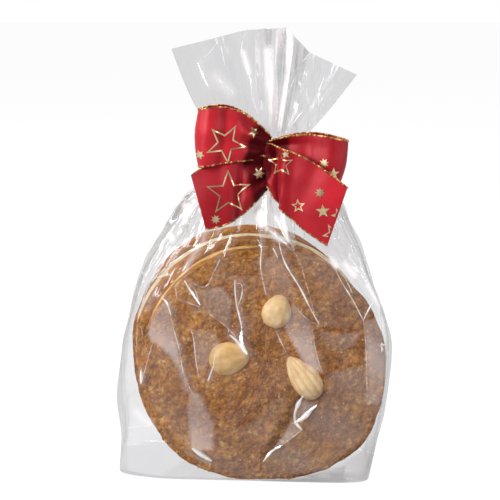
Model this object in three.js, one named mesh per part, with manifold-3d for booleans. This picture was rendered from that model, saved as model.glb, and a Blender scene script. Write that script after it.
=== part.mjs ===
// A clear bag of lebkuchen, gathered at the neck and tied with a ribbon bow.
// Millimetres, +Z up. The front faces -Y, and the origin is on the flat bottom that the bag stands on.
// The bag is one solid that holds the film and the stack of biscuits inside it. The bow is one ribbon.
import * as THREE from "three";
import { mergeVertices } from "three/addons/utils/BufferGeometryUtils.js";
import Module from "manifold-3d";

// Driving dimensions of the contents and of the ribbon
const BISCUIT_RADIUS = 50;
const BISCUIT_THICKNESS = 13.6;
const BISCUIT_COUNT = 3;
const FILM_SLACK = 2.1;
const RIBBON_THICKNESS = 0.8;

// The stack of biscuits stands on edge and leans back a little, so it sets how deep the bag is.
// The biscuits stand askew, so together they reach a little further than one of them.
const HALF_STACK = (BISCUIT_COUNT * BISCUIT_THICKNESS) / 2;
const HALF_DEPTH = HALF_STACK + FILM_SLACK;
const STACK_X = 0.9;
const STACK_Y = -3.6;
const STACK_LEAN = THREE.MathUtils.degToRad(4);
const STACK_REACH_X = BISCUIT_RADIUS + 3.8;
const STACK_REACH_Z = BISCUIT_RADIUS + 1;
const STACK_ROUNDNESS = 2.2;

// How the film lies on the stack: its gap, how far the round rim draws it in, the slope of the tent beyond
// the rim, and how deep loose film sinks in between the rim and the bag's folded edges
const STACK_GAP = 0.7;
const RIM_ROUND = 3.2;
const TENT_SLOPE = 0.8;
const TENT_REACH = 14;
const SAG_DEPTH = 4.5;

// The almond halves on the front biscuit stand out under the film. Turn is in degrees from the right.
const ALMONDS = [
  { x: 8.1, z: 71.8, long: 14.4, wide: 12, turn: 72 },
  { x: -11.4, z: 52.1, long: 17.2, wide: 14, turn: 14 },
  { x: 19.1, z: 44.3, long: 21.6, wide: 11.6, turn: 126 },
];
const ALMOND_HEIGHT = 4.2;
const ALMOND_SUNK = 0.8;
const ALMOND_FLAT = 0.35;

// The gathered neck, where the ribbon holds the film
const NECK_X = 5;
const NECK_Y = 1;
const NECK_RADIUS = 6;
const NECK_LOW = 128.5;
const NECK_HIGH = 135.5;

// The bag from its bottom to its neck. Left, right, front and back are how far the film reaches at that
// height, squareness is 2 on an oval and more on a box, and pleat is the depth of the gathers as a share.
const OUTLINE = [
  { z: 0, left: -58.6, right: 47.2, front: -4.8 - HALF_DEPTH, back: HALF_DEPTH - 2, square: 8, pleat: 0 },
  { z: 14, left: -57.4, right: 50, front: -2.4 - HALF_DEPTH, back: HALF_DEPTH - 1, square: 10, pleat: 0 },
  { z: 32, left: -59, right: 54, front: -HALF_DEPTH, back: HALF_DEPTH + 1, square: 10, pleat: 0 },
  { z: 54, left: -56.7, right: 56.5, front: 2 - HALF_DEPTH, back: HALF_DEPTH + 2.5, square: 7, pleat: 0.01 },
  { z: 66, left: -53.5, right: 54, front: 2.4 - HALF_DEPTH, back: HALF_DEPTH + 3.5, square: 5, pleat: 0.02 },
  { z: 79, left: -50, right: 48.3, front: 3.5 - HALF_DEPTH, back: HALF_DEPTH + 4, square: 4, pleat: 0.03 },
  { z: 103, left: -36.5, right: 39, front: 7.5 - HALF_DEPTH, back: HALF_DEPTH + 3, square: 2.6,
    pleat: 0.07 },
  { z: 116, left: -28, right: 33, front: -11, back: 17, square: 2.2, pleat: 0.13 },
  { z: 124, left: -16, right: 23, front: -8.4, back: 12, square: 2, pleat: 0.17 },
  { z: NECK_LOW, left: NECK_X - NECK_RADIUS, right: NECK_X + NECK_RADIUS,
    front: NECK_Y - NECK_RADIUS, back: NECK_Y + NECK_RADIUS, square: 2, pleat: 0.2 },
];
const BASE_ROUND = 1.5;
const BASE_SHEAR = 0.035;
const SHEAR_FADES_AT = 80;
const MAIN_PLEATS = 11;
const SMALL_PLEATS = 24;

// The film above the neck opens into a fan. These are the corners of its mouth, as [x, z] from the left.
// The fan flares fast out of the neck and then more slowly: the lower the power, the faster.
const MOUTH = [[-35, 177.5], [-4, 185.2], [12, 186], [21.5, 176], [41, 167]];
const LEFT_FLARE = 0.35;
const RIGHT_FLARE = 0.65;
const FAN_FOLDS = 5;
const FAN_FOLD_DEPTH = 5;
const FAN_HALF_THICKNESS = 2.2;

// How finely the bag is divided. Its broad front and back take more of each ring's points than its sides,
// up to the height where the gathers begin.
const RING_POINTS = 96;
const BODY_RINGS = 34;
const FAN_RINGS = 12;
const FRONT_CROWDING = 0.032;

// The ribbon's band round the neck and its knot in front of it
const BAND_GAP = 0.5;
const BAND_INNER = NECK_RADIUS * 1.2 + BAND_GAP;
const BAND_HEIGHT = 6;
const BAND_Z = (NECK_LOW + NECK_HIGH) / 2;
const KNOT_RADIUS = 4;
const KNOT_LENGTH = 6;
const KNOT_Y = NECK_Y - BAND_INNER - KNOT_RADIUS;
const KNOT_Z = 132.5;

// Each loop of the bow has an upper and a lower edge. An edge leaves the knot at rootZ, arches out to its
// tip, and turns back behind itself to the knot. The band leans away from the bag as it goes out.
const LEFT_LOOP = {
  upper: { rootZ: 143, tipX: -23.2, tipZ: 154.8, arch: 5.6 },
  lower: { rootZ: 133.5, tipX: -24, tipZ: 131, arch: 0.8 },
};
const RIGHT_LOOP = {
  upper: { rootZ: 141, tipX: 36.5, tipZ: 142, arch: 3 },
  lower: { rootZ: 129, tipX: 31.3, tipZ: 118.5, arch: -2 },
};
const LOOP_ROUNDNESS = 0.8;
const LOOP_ROOT_APART = 1.3;
const LOOP_LEAN = 4;
const LOOP_HALF_DEPTH = 4.5;

// Each tail hangs from the knot between two bent edges, given by start, pull and end
const LEFT_TAIL = {
  upper: [[4, -11.5, 136], [-14, -16.5, 136], [-26.8, -19, 127.7]],
  lower: [[3.6, -12, 122.4], [-8.2, -20, 107.6], [-21.2, -22, 108.4]],
};
const RIGHT_TAIL = {
  upper: [[5, -14, 140.7], [18.9, -22.5, 138.6], [36.1, -24.5, 124.4]],
  lower: [[4.6, -14, 123.1], [8.2, -21.8, 112.2], [28.1, -25.5, 100.4]],
};
const LOOP_STEPS = 36;
const TAIL_STEPS = 16;
const STEPS_ACROSS = 5;
const RIBBON_BELLY = 1.2;

const { clamp, degToRad, smoothstep } = THREE.MathUtils;
const wasm = await Module();
wasm.setup();

// A smooth curve through the outline's rows that never overshoots them, read at one height
function outlineAt(key, z) {
  const last = OUTLINE.length - 1;
  const slope = (i) => (OUTLINE[i + 1][key] - OUTLINE[i][key]) / (OUTLINE[i + 1].z - OUTLINE[i].z);
  const tangent = (i) => {
    if (i === 0) return slope(0);
    if (i === last) return slope(last - 1);
    const before = slope(i - 1);
    const after = slope(i);
    return before * after <= 0 ? 0 : (2 * before * after) / (before + after);
  };
  const i = Math.min(Math.max(OUTLINE.findIndex((row) => row.z >= z) - 1, 0), last - 1);
  const span = OUTLINE[i + 1].z - OUTLINE[i].z;
  const t = (z - OUTLINE[i].z) / span;
  const ease = t * t * (3 - 2 * t);
  const start = t * (1 - t) * (1 - t) * span * tangent(i);
  const end = t * t * (t - 1) * span * tangent(i + 1);
  return THREE.MathUtils.lerp(OUTLINE[i][key], OUTLINE[i + 1][key], ease) + start + end;
}

// A wave of straight flanks between -1 and 1, once for each whole number
const zigzag = (t) => 1 - 4 * Math.abs(t - Math.floor(t) - 0.5);

// How far the gathers stand out at a share of a turn round the bag
function gathers(turn) {
  const drift = 0.35 * Math.sin(2 * Math.PI * turn * 3 + 0.8);
  return 0.65 * zigzag(MAIN_PLEATS * turn + drift) + 0.35 * zigzag(SMALL_PLEATS * turn + 2 * drift);
}

// Film that would cut into the stack moves out to lie on it, is drawn in round the rim, and slopes off
// beyond it as a tent. Facing is -1 where the film faces the front, 0 at the sides and 1 at the back.
function draped(p, facing) {
  const upright = p.y - STACK_Y - p.z * Math.sin(STACK_LEAN);
  const beyondX = Math.abs(p.x - STACK_X) / STACK_REACH_X;
  const beyondZ = Math.abs(p.z - STACK_REACH_Z) / STACK_REACH_Z;
  const reach = (beyondX ** STACK_ROUNDNESS + beyondZ ** STACK_ROUNDNESS) ** (1 / STACK_ROUNDNESS);
  const gap = (reach - 1) * STACK_REACH_X;
  const drawnIn = RIM_ROUND * smoothstep(reach, 0.88, 1) + TENT_SLOPE * clamp(gap, 0, TENT_REACH);
  const clear = HALF_STACK + STACK_GAP - drawnIn;
  const hold = 1 - smoothstep(gap, TENT_REACH / 2, TENT_REACH);
  const ahead = Math.max(upright + clear, 0) * hold * smoothstep(-facing, 0.05, 0.5);
  const behind = Math.max(clear - upright, 0) * hold * smoothstep(facing, 0.05, 0.5);
  const beside = Math.min(gap, 0) * (1 - smoothstep(Math.abs(facing), 0.2, 0.6));
  const loose = smoothstep(gap, -4, 6) * smoothstep(p.z, 1, 12) * (1 - smoothstep(p.z, 60, 90));
  const sag = SAG_DEPTH * loose * smoothstep(Math.abs(facing), 0.5, 0.98) * Math.sign(facing);
  return new THREE.Vector3(p.x - Math.sign(p.x - STACK_X) * beside, p.y - ahead + behind - sag, p.z);
}

// Film at the front stands off an almond as a tent with a round top
function overAlmonds(p) {
  const face = STACK_Y - HALF_STACK + p.z * Math.sin(STACK_LEAN);
  const top = face + ALMOND_SUNK - ALMOND_HEIGHT - STACK_GAP;
  return ALMONDS.reduce((y, { x, z, long, wide, turn }) => {
    const off = new THREE.Vector2(p.x - x, p.z - z).rotateAround(new THREE.Vector2(), -degToRad(turn));
    const beyond = Math.max(Math.hypot((2 * off.x) / long, (2 * off.y) / wide) - ALMOND_FLAT, 0);
    return Math.min(y, top + 0.5 * ALMOND_HEIGHT * beyond ** 2);
  }, p.y);
}

// One level ring of the bag's body
function bodyRing(z) {
  const [left, right, front, back] = ["left", "right", "front", "back"].map((key) => outlineAt(key, z));
  const square = outlineAt("square", z);
  const pleat = outlineAt("pleat", z);
  const lift = Math.max(BASE_ROUND - z, 0);
  const inset = BASE_ROUND - Math.sqrt(BASE_ROUND ** 2 - lift ** 2);
  const shear = BASE_SHEAR * Math.max(1 - z / SHEAR_FADES_AT, 0);
  const crowding = FRONT_CROWDING * (1 - smoothstep(z, 90, 116));
  const ring = [];
  for (let j = 0; j < RING_POINTS; j++) {
    const even = j / RING_POINTS;
    const turn = even + crowding * Math.sin(4 * Math.PI * even);
    const c = Math.cos(2 * Math.PI * turn);
    const s = Math.sin(2 * Math.PI * turn);
    const boxed = (Math.abs(c) ** square + Math.abs(s) ** square) ** (-1 / square);
    const reach = boxed * (1 + pleat * gathers(turn));
    const x = (left + right) / 2 + ((right - left) / 2 - inset) * c * reach;
    const y = (front + back) / 2 + ((back - front) / 2 - inset) * s * reach;
    const out = new THREE.Vector2(
      (Math.sign(c) * Math.abs(c * boxed) ** (square - 1)) / (right - left),
      (Math.sign(s) * Math.abs(s * boxed) ** (square - 1)) / (back - front),
    ).normalize();
    const place = draped(new THREE.Vector3(x, y - shear * x, z), out.y);
    ring.push(s < 0 ? place.setY(overAlmonds(place)) : place);
  }
  return ring;
}

// The place on the mouth's edge at a share of the way from its left corner to its right one
function mouthAt(share) {
  const corners = MOUTH.map(([x, z]) => new THREE.Vector3(x, NECK_Y, z));
  const path = new THREE.CurvePath();
  corners.slice(1).forEach((corner, i) => path.add(new THREE.LineCurve3(corners[i], corner)));
  return path.getPointAt(share);
}

// One ring of the fan, from the neck at 0 to the mouth at 1. Its two sides lie close and share their folds.
function fanRing(t) {
  const top = bodyRing(NECK_LOW).map((p) => p.setZ(NECK_HIGH));
  const middle = new THREE.Vector3(NECK_X, NECK_Y, NECK_HIGH);
  return top.map((neck, j) => {
    const turn = j / RING_POINTS;
    const across = turn <= 0.5 ? 1 - 2 * turn : 2 * turn - 1;
    const side = Math.sign(0.5 - turn) * (j % (RING_POINTS / 2) ? 1 : 0);
    const mouth = mouthAt(across);
    const flare = t ** THREE.MathUtils.lerp(LEFT_FLARE, RIGHT_FLARE, across);
    const fold = zigzag(FAN_FOLDS * across ** 0.8 + 0.3) * Math.sin(Math.PI * across) ** 0.5;
    const thick = Math.min(1, 6 * across, 6 * (1 - across)) * FAN_HALF_THICKNESS;
    const out = new THREE.Vector3(
      THREE.MathUtils.lerp(NECK_X, mouth.x, flare),
      NECK_Y + t * FAN_FOLD_DEPTH * fold + Math.min(1, 3 * t) * side * thick,
      THREE.MathUtils.lerp(NECK_HIGH, mouth.z, t),
    );
    const hold = (1 - flare) ** 2;
    return out.add(neck.sub(middle).multiplyScalar(hold));
  });
}

// A closed solid between a stack of rings, with a flat bottom and a mouth that closes side to side
function loftGeometry(rings) {
  const n = RING_POINTS;
  const centre = new THREE.Vector3();
  rings[0].forEach((p) => centre.addScaledVector(p, 1 / n));
  const position = [...rings.flat(), centre].flatMap((p) => p.toArray());
  const index = [];
  for (let i = 0; i + 1 < rings.length; i++) {
    for (let j = 0; j < n; j++) {
      const [a, b] = [i * n + j, i * n + ((j + 1) % n)];
      index.push(a, b, b + n, a, b + n, a + n);
    }
  }
  for (let j = 0; j < n; j++) {
    index.push(rings.length * n, (j + 1) % n, j);
  }
  const top = (rings.length - 1) * n;
  for (let j = 0; j < n / 2; j++) {
    const [a, b, c, d] = [j, j + 1, n - j - 1, (n - j) % n].map((k) => top + k);
    if (b !== c) index.push(a, b, c);
    if (a !== d) index.push(a, c, d);
  }
  return new THREE.BufferGeometry()
    .setAttribute("position", new THREE.Float32BufferAttribute(position, 3))
    .setIndex(index);
}

function bagGeometry() {
  const rings = [0, 0.3, 0.7].map((share) => bodyRing(share * BASE_ROUND));
  for (let i = 0; i <= BODY_RINGS; i++) {
    rings.push(bodyRing(THREE.MathUtils.lerp(BASE_ROUND, NECK_LOW, i / BODY_RINGS)));
  }
  for (let i = 0; i <= FAN_RINGS; i++) {
    rings.push(fanRing((i / FAN_RINGS) ** 2));
  }
  return loftGeometry(rings);
}

// A place on a loop's edge, from the knot at 0, out to the tip at 0.5, and back to the knot at 1
function loopEdge({ rootZ, tipX, tipZ, arch }, u) {
  const out = Math.sin(Math.PI * u) ** LOOP_ROUNDNESS;
  return new THREE.Vector3(
    THREE.MathUtils.lerp(NECK_X + Math.sign(tipX) * LOOP_ROOT_APART, tipX, out),
    KNOT_Y - LOOP_LEAN * out - LOOP_HALF_DEPTH * Math.sin(2 * Math.PI * u),
    THREE.MathUtils.lerp(rootZ, tipZ, out) + arch * Math.sin(Math.PI * out),
  );
}

// A place on a tail's edge, from the knot at 0 to the cut end at 1
function tailEdge(points, u) {
  return new THREE.QuadraticBezierCurve3(...points.map((p) => new THREE.Vector3(...p))).getPoint(u);
}

// A length of ribbon between two edges: a thin closed solid, bellied out a little across its width.
// Its outer side is on the left of the first edge, so a length that goes right starts at its lower edge.
function ribbonGeometry(edgeAt, first, second, steps) {
  const across = STEPS_ACROSS + 1;
  const flat = [];
  for (let i = 0; i <= steps; i++) {
    const [a, b] = [edgeAt(first, i / steps), edgeAt(second, i / steps)];
    flat.push(Array.from({ length: across }, (_, j) => a.clone().lerp(b, j / STEPS_ACROSS)));
  }
  const normalAt = (i, j) => {
    const along = flat[Math.min(i + 1, steps)][j].clone().sub(flat[Math.max(i - 1, 0)][j]);
    const down = flat[i][Math.min(j + 1, STEPS_ACROSS)].clone().sub(flat[i][Math.max(j - 1, 0)]);
    return along.cross(down).normalize();
  };
  const sheet = (offset) => flat.flatMap((row, i) => row.flatMap((p, j) => {
    const belly = RIBBON_BELLY * Math.sin((Math.PI * j) / STEPS_ACROSS) * Math.sin((Math.PI * i) / steps);
    return p.clone().addScaledVector(normalAt(i, j), belly + offset).toArray();
  }));
  const position = [...sheet(RIBBON_THICKNESS / 2), ...sheet(-RIBBON_THICKNESS / 2)];
  const under = position.length / 6;
  const index = [];
  const quad = (a, b, c, d) => index.push(a, b, c, a, c, d);
  for (let i = 0; i < steps; i++) {
    for (let j = 0; j < STEPS_ACROSS; j++) {
      const [a, b] = [i * across + j, (i + 1) * across + j];
      quad(a, b, b + 1, a + 1);
      quad(under + a, under + a + 1, under + b + 1, under + b);
    }
    const [top, nextTop] = [i * across, (i + 1) * across];
    const [foot, nextFoot] = [top + STEPS_ACROSS, nextTop + STEPS_ACROSS];
    quad(top, under + top, under + nextTop, nextTop);
    quad(foot, nextFoot, under + nextFoot, under + foot);
  }
  for (let j = 0; j < STEPS_ACROSS; j++) {
    const end = steps * across + j;
    quad(j, j + 1, under + j + 1, under + j);
    quad(end, under + end, under + end + 1, end + 1);
  }
  return new THREE.BufferGeometry()
    .setAttribute("position", new THREE.Float32BufferAttribute(position, 3))
    .setIndex(index);
}

// The flat band that the ribbon makes round the neck
function bandGeometry() {
  const outer = BAND_INNER + RIBBON_THICKNESS;
  const profile = [[BAND_INNER, -1], [outer, -1], [outer, 1], [BAND_INNER, 1], [BAND_INNER, -1]];
  const points = profile.map(([r, side]) => new THREE.Vector2(r, (side * BAND_HEIGHT) / 2));
  return new THREE.LatheGeometry(points, 40).rotateX(Math.PI / 2).translate(NECK_X, NECK_Y, BAND_Z);
}

function knotGeometry() {
  return new THREE.CapsuleGeometry(KNOT_RADIUS, KNOT_LENGTH, 5, 16)
    .rotateX(Math.PI / 2)
    .translate(NECK_X, KNOT_Y, KNOT_Z);
}

function solidOf(geometry) {
  const bare = geometry.clone();
  bare.deleteAttribute("normal");
  bare.deleteAttribute("uv");
  const merged = mergeVertices(bare, 1e-4);
  return new wasm.Manifold(new wasm.Mesh({
    numProp: 3,
    vertProperties: merged.attributes.position.array,
    triVerts: new Uint32Array(merged.index.array),
  }));
}

function geometryOf(solid) {
  const mesh = solid.getMesh();
  return new THREE.BufferGeometry()
    .setAttribute("position", new THREE.BufferAttribute(mesh.vertProperties, 3))
    .setIndex(new THREE.BufferAttribute(mesh.triVerts, 1));
}

function bowGeometry() {
  const lengths = [
    ribbonGeometry(loopEdge, LEFT_LOOP.upper, LEFT_LOOP.lower, LOOP_STEPS),
    ribbonGeometry(loopEdge, RIGHT_LOOP.lower, RIGHT_LOOP.upper, LOOP_STEPS),
    ribbonGeometry(tailEdge, LEFT_TAIL.upper, LEFT_TAIL.lower, TAIL_STEPS),
    ribbonGeometry(tailEdge, RIGHT_TAIL.lower, RIGHT_TAIL.upper, TAIL_STEPS),
    knotGeometry(),
  ];
  return geometryOf(lengths.reduce((joined, piece) => joined.add(solidOf(piece)), solidOf(bandGeometry())));
}

const film = new THREE.MeshStandardMaterial({ color: 0xb9926c, roughness: 0.25, metalness: 0 });
const ribbon = new THREE.MeshStandardMaterial({ color: 0xa0262a, roughness: 0.5, metalness: 0 });

const bag = new THREE.Mesh(bagGeometry(), film);
bag.name = "bag";

const bow = new THREE.Mesh(bowGeometry(), ribbon);
bow.name = "ribbon_bow";

const pack = new THREE.Group();
pack.add(bag, bow);

export default pack;
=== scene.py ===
# %% [markdown]
# # A clear bag of lebkuchen, tied with a ribbon bow
#
# Three round almond lebkuchen stand on edge in a clear gift bag. The bag is gathered at the neck and tied
# with a red ribbon. We load the solid model first, because it fixes the place and the size of every piece.

# %% Load the solid model
import math
from contextlib import contextmanager

import bpy
import numpy as np
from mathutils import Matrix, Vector
from mathutils.bvhtree import BVHTree
from mathutils.kdtree import KDTree


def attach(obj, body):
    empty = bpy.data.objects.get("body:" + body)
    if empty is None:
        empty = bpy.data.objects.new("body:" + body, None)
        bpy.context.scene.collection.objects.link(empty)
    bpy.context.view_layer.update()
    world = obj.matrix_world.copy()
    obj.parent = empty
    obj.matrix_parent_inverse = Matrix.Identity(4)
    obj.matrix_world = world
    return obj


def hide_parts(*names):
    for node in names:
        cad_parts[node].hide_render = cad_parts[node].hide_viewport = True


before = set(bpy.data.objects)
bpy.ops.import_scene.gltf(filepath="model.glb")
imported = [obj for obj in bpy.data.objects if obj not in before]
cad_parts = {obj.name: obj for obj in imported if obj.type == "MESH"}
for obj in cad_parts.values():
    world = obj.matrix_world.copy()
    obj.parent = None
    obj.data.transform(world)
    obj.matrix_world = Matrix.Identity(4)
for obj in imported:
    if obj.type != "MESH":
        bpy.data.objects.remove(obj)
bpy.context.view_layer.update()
MM = 0.001

# %% [markdown]
# ## Camera
#
# The bag was photographed with a long lens from a little above. A long lens far away keeps the round biscuit
# round. We aim at the middle of the bag and step back along the line of sight.

# %% Camera
AIM = Vector((-2.9, 0.0, 93.5)) * MM
ELEVATION = math.radians(12)
DISTANCE = 0.585
LENS = 100


def added(operator, **settings):
    """The object that an operator adds, with nothing else selected."""
    bpy.ops.object.select_all(action="DESELECT")
    operator(**settings)
    return bpy.context.object


step_back = Vector((0, -math.cos(ELEVATION), math.sin(ELEVATION))) * DISTANCE
turned = (math.pi / 2 - ELEVATION, 0, 0)
camera = added(bpy.ops.object.camera_add, location=AIM + step_back, rotation=turned)
camera.data.lens = LENS
bpy.context.scene.camera = camera
print("camera at", [round(c, 3) for c in camera.location])

# %% [markdown]
# ## Studio
#
# Clear film shows only what it mirrors, so the light matters more here than for a matt object. A pale floor,
# a white surround for the eye, and a darker one for the mirror images let the film read as light grey with
# crisp white streaks. The streaks come partly from the soft boxes and partly from highlights painted white
# onto the film and its creases.

# %% Studio
scene = bpy.context.scene
scene.view_settings.view_transform = "Standard"
scene.cycles.transparent_max_bounces = 32
scene.cycles.max_bounces = 12


def node_adder(tree):
    """Empties a node tree, and gives a helper that adds a node to it with its settings and inputs."""
    tree.nodes.clear()

    def add(kind, inputs=None, **settings):
        node = tree.nodes.new("ShaderNode" + kind)
        for key, value in settings.items():
            setattr(node, key, value)
        for key, value in (inputs or {}).items():
            if isinstance(value, bpy.types.NodeSocket):
                tree.links.new(value, node.inputs[key])
            else:
                node.inputs[key].default_value = value
        return node

    return add


def new_material(name):
    """A node material, and the helper that adds nodes to it."""
    material = bpy.data.materials.new(name)
    material.use_nodes = True
    return material, node_adder(material.node_tree)


def finish_material(add, shader):
    add("OutputMaterial", {"Surface": shader})


def ramp(add, value, *stops):
    """The colour that a ramp has at a value, from stops of a position and a colour."""
    node = add("ValToRGB", {"Fac": value})
    elements = node.color_ramp.elements
    for _ in stops[2:]:
        elements.new(0.5)
    for element, (position, colour) in zip(elements, stops):
        element.position, element.color = position, (*colour, 1)
    return node.outputs["Color"]


def mix(add, factor, first, second, blend_type="MIX"):
    """One colour mixed with another, or multiplied by it."""
    node = add("Mix", {"Factor": factor, "A": first, "B": second}, data_type="RGBA", blend_type=blend_type)
    return node.outputs["Result"]


FLOOR_SIZE, FLOOR_DROP = 8, 0.0004
floor_material, add = new_material("pale_floor")
floor_paint = add("BsdfDiffuse", {"Color": (0.07, 0.07, 0.07, 1)})
floor_seen = add("LightPath")
floor_level = add("MapRange", {"Value": floor_seen.outputs["Is Camera Ray"], "To Min": 0.5, "To Max": 0.96})
floor_glow = add("Emission", {"Color": (1, 1, 1, 1), "Strength": floor_level.outputs["Result"]})
floor_shader = add("AddShader", {0: floor_paint.outputs[0], 1: floor_glow.outputs[0]})
finish_material(add, floor_shader.outputs[0])
floor = added(bpy.ops.mesh.primitive_plane_add, size=FLOOR_SIZE, location=(0, 0, -FLOOR_DROP))
floor.name = "floor"
floor.data.materials.append(floor_material)

world = bpy.data.worlds.new("studio")
scene.world = world
world.use_nodes = True
add = node_adder(world.node_tree)
ray = add("LightPath")
direction = add("SeparateXYZ", {"Vector": add("TexCoord").outputs["Generated"]})
behind = add("MapRange", {
    "Value": direction.outputs["Y"], "From Min": -0.9, "From Max": 0.1, "To Min": 0.1, "To Max": 0.7,
})
white_sky = add("Background", {"Color": (1, 1, 1, 1), "Strength": 1.0})
room = add("Background", {"Color": (0.16, 0.16, 0.17, 1)})
mirrored = add("Background", {"Color": (1, 1, 1, 1), "Strength": behind.outputs["Result"]})
unseen = add("MixShader", {0: ray.outputs["Is Glossy Ray"], 1: room.outputs[0], 2: mirrored.outputs[0]})
sky = add("MixShader", {0: ray.outputs["Is Camera Ray"], 1: unseen.outputs[0], 2: white_sky.outputs[0]})
add("OutputWorld", {"Surface": sky.outputs[0]})

# Each soft box has its place, its width and height in metres, and its watts.
SOFT_BOXES = {
    "key_left": ((-0.8, -0.7, 0.7), 0.4, 0.8, 19.5),
    "fill_right": ((0.95, -0.55, 0.55), 0.2, 0.7, 4.5),
    "top": ((0.05, 0.05, 1.1), 0.5, 0.3, 9),
    "back_left": ((-0.6, 0.8, 0.6), 0.25, 0.6, 4),
}


def soft_box(name, place, width, height, watts):
    """A rectangular studio light that faces the middle of the bag."""
    light = added(bpy.ops.object.light_add, type="AREA", location=place)
    light.name = name
    light.data.shape = "RECTANGLE"
    light.data.size = width
    light.data.size_y = height
    light.data.energy = watts
    light.rotation_euler = (AIM - Vector(place)).to_track_quat("-Z", "Y").to_euler()


for name, settings in SOFT_BOXES.items():
    soft_box(name, *settings)

# %% [markdown]
# ## Laying out a grid
#
# Film, ribbon and biscuit are all surfaces with two directions, such as round and up, or along and across.
# A grid primitive is a flat sheet with a ready UV map. We move its points to where a formula says, and merge
# the edges that meet. It is quicker than pushing points by hand, and the same formula then places trims.

# %% Grid helpers
MERGED_WITHIN, DEGENERATE_BELOW = 1e-6, 1e-7


@contextmanager
def edit_mode():
    """Edits the whole mesh of the active object."""
    bpy.ops.object.mode_set(mode="EDIT")
    bpy.ops.mesh.select_all(action="SELECT")
    yield
    bpy.ops.object.mode_set(mode="OBJECT")


def paint_points(mesh, name, values):
    """Gives each point of a mesh its value of a named attribute."""
    mesh.attributes.new(name, "FLOAT", "POINT").data.foreach_set("value", values)


def laid_grid(name, columns, rows, place, closed=False, paint=None):
    """A grid primitive with its points moved to place(u, v), where u and v run from 0 to 1, in millimetres.

    paint has the name of each attribute and the function of u and v that gives it."""
    piece = added(bpy.ops.mesh.primitive_grid_add, x_subdivisions=columns, y_subdivisions=rows, size=2)
    piece.name = piece.data.name = name
    flat = np.empty(len(piece.data.vertices) * 3)
    piece.data.vertices.foreach_get("co", flat)
    u, v = (flat.reshape(-1, 3)[:, :2].T + 1) / 2
    piece.data.vertices.foreach_set("co", (place(u, v) * MM).ravel())
    for attribute, shade in (paint or {}).items():
        paint_points(piece.data, attribute, shade(u, v))
    with edit_mode():
        if closed:
            bpy.ops.mesh.remove_doubles(threshold=MERGED_WITHIN)
            bpy.ops.mesh.dissolve_degenerate(threshold=DEGENERATE_BELOW)
            bpy.ops.mesh.normals_make_consistent(inside=False)
    bpy.ops.object.shade_smooth()
    return piece


def join(name, pieces):
    """One piece made of several."""
    bpy.ops.object.select_all(action="DESELECT")
    for piece in pieces:
        piece.select_set(True)
    bpy.context.view_layer.objects.active = pieces[0]
    bpy.ops.object.join()
    pieces[0].name = pieces[0].data.name = name
    return pieces[0]


def apply_modifiers(piece):
    bpy.ops.object.select_all(action="DESELECT")
    piece.select_set(True)
    bpy.context.view_layer.objects.active = piece
    for modifier in list(piece.modifiers):
        bpy.ops.object.modifier_apply(modifier=modifier.name)


def finish(piece, material):
    """Gives a piece its material and tells the frame what it rides on."""
    piece.data.materials.clear()
    piece.data.materials.append(material)
    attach(piece, "root")
    triangles = sum(len(p.vertices) - 2 for p in piece.data.polygons)
    print(piece.name, "has", triangles, "triangles")


def blend(low, high, share):
    return low + (high - low) * share


def smooth_step(low, high, value):
    share = np.clip((value - low) / (high - low), 0, 1)
    return share * share * (3 - 2 * share)


def zigzag(t):
    """A wave of straight flanks between -1 and 1, once for each whole number."""
    return 1 - 4 * np.abs(t - np.floor(t) - 0.5)


# %% [markdown]
# ## Lebkuchen
#
# A lebkuchen is a soft ground-nut dough baked on a pale wafer, so it is a thick disc with a flat back, a
# full rim and a nearly flat face. Three of them stand on edge, a little askew. Each is laid out round and
# over its profile, and a displacement texture makes its face uneven. Then its skin is broken into crumbs of
# two sizes: every point belongs to the nearest of many scattered seeds, and sinks where it is near the next.

# %% Lebkuchen shape
BISCUITS = {
    "front": {"x": 3.0, "wide": 50.7, "above": 46.6, "below": 49.7,
              "wafer": 0.5, "wafer_reach": 1.0, "wafer_tuck": 0.035, "cream": 0.0},
    "middle": {"x": -1.4, "wide": 50.6, "above": 49.3, "below": 49.3,
               "wafer": 1.3, "wafer_reach": 1.006, "wafer_tuck": 0.0, "cream": 1.0},
    "back": {"x": -3.0, "wide": 50.6, "above": 51.2, "below": 49.8,
             "wafer": 0.6, "wafer_reach": 0.96, "wafer_tuck": 0.0, "cream": 0.6},
}
BISCUIT_THICK = 13.6
REST_HEIGHT = 0.5
BISCUIT_FOOT = 0.2
LOWER_FULLNESS = 2.4
STACK_Y = -4.4
STACK_LEAN = math.radians(4)
RIM_POWER = 7
RIM_HEIGHT = 0.74
BACK_SHARE, RIM_SHARE = 0.08, 0.2
BACK_REACH = 0.985
# Waves of the uneven edge: how many to a turn, and how far each reaches out.
EDGE_WAVES = [(2, 0.007), (3, 0.005), (7, 0.004)]
rng = np.random.default_rng(24)


def biscuit_edge(angle, seed):
    """How far a biscuit's uneven edge reaches at an angle, as a share of its radius."""
    starts = np.random.default_rng(seed).uniform(0, 2 * np.pi, len(EDGE_WAVES))
    return sum((rise * np.sin(count * angle + start) for (count, rise), start in zip(EDGE_WAVES, starts)), 1)


def in_stack(which, angle, reach, depth):
    """Places points of a biscuit by angle, share of its radius, and depth from its back to its face."""
    biscuit = BISCUITS[which]
    order = list(BISCUITS).index(which)
    c, s = np.cos(angle), np.sin(angle)
    power = np.where(s < 0, LOWER_FULLNESS, 2.0)
    reach = reach * (np.abs(c) ** power + np.abs(s) ** power) ** (-1 / power)
    height = np.where(s < 0, biscuit["below"], biscuit["above"])
    x = biscuit["x"] + biscuit["wide"] * reach * c
    y = STACK_Y + (order - 0.5) * BISCUIT_THICK - depth
    z = np.maximum(BISCUIT_FOOT + biscuit["below"] + height * reach * s, REST_HEIGHT)
    return np.stack([x, y + z * math.sin(STACK_LEAN), z], axis=-1)


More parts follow.
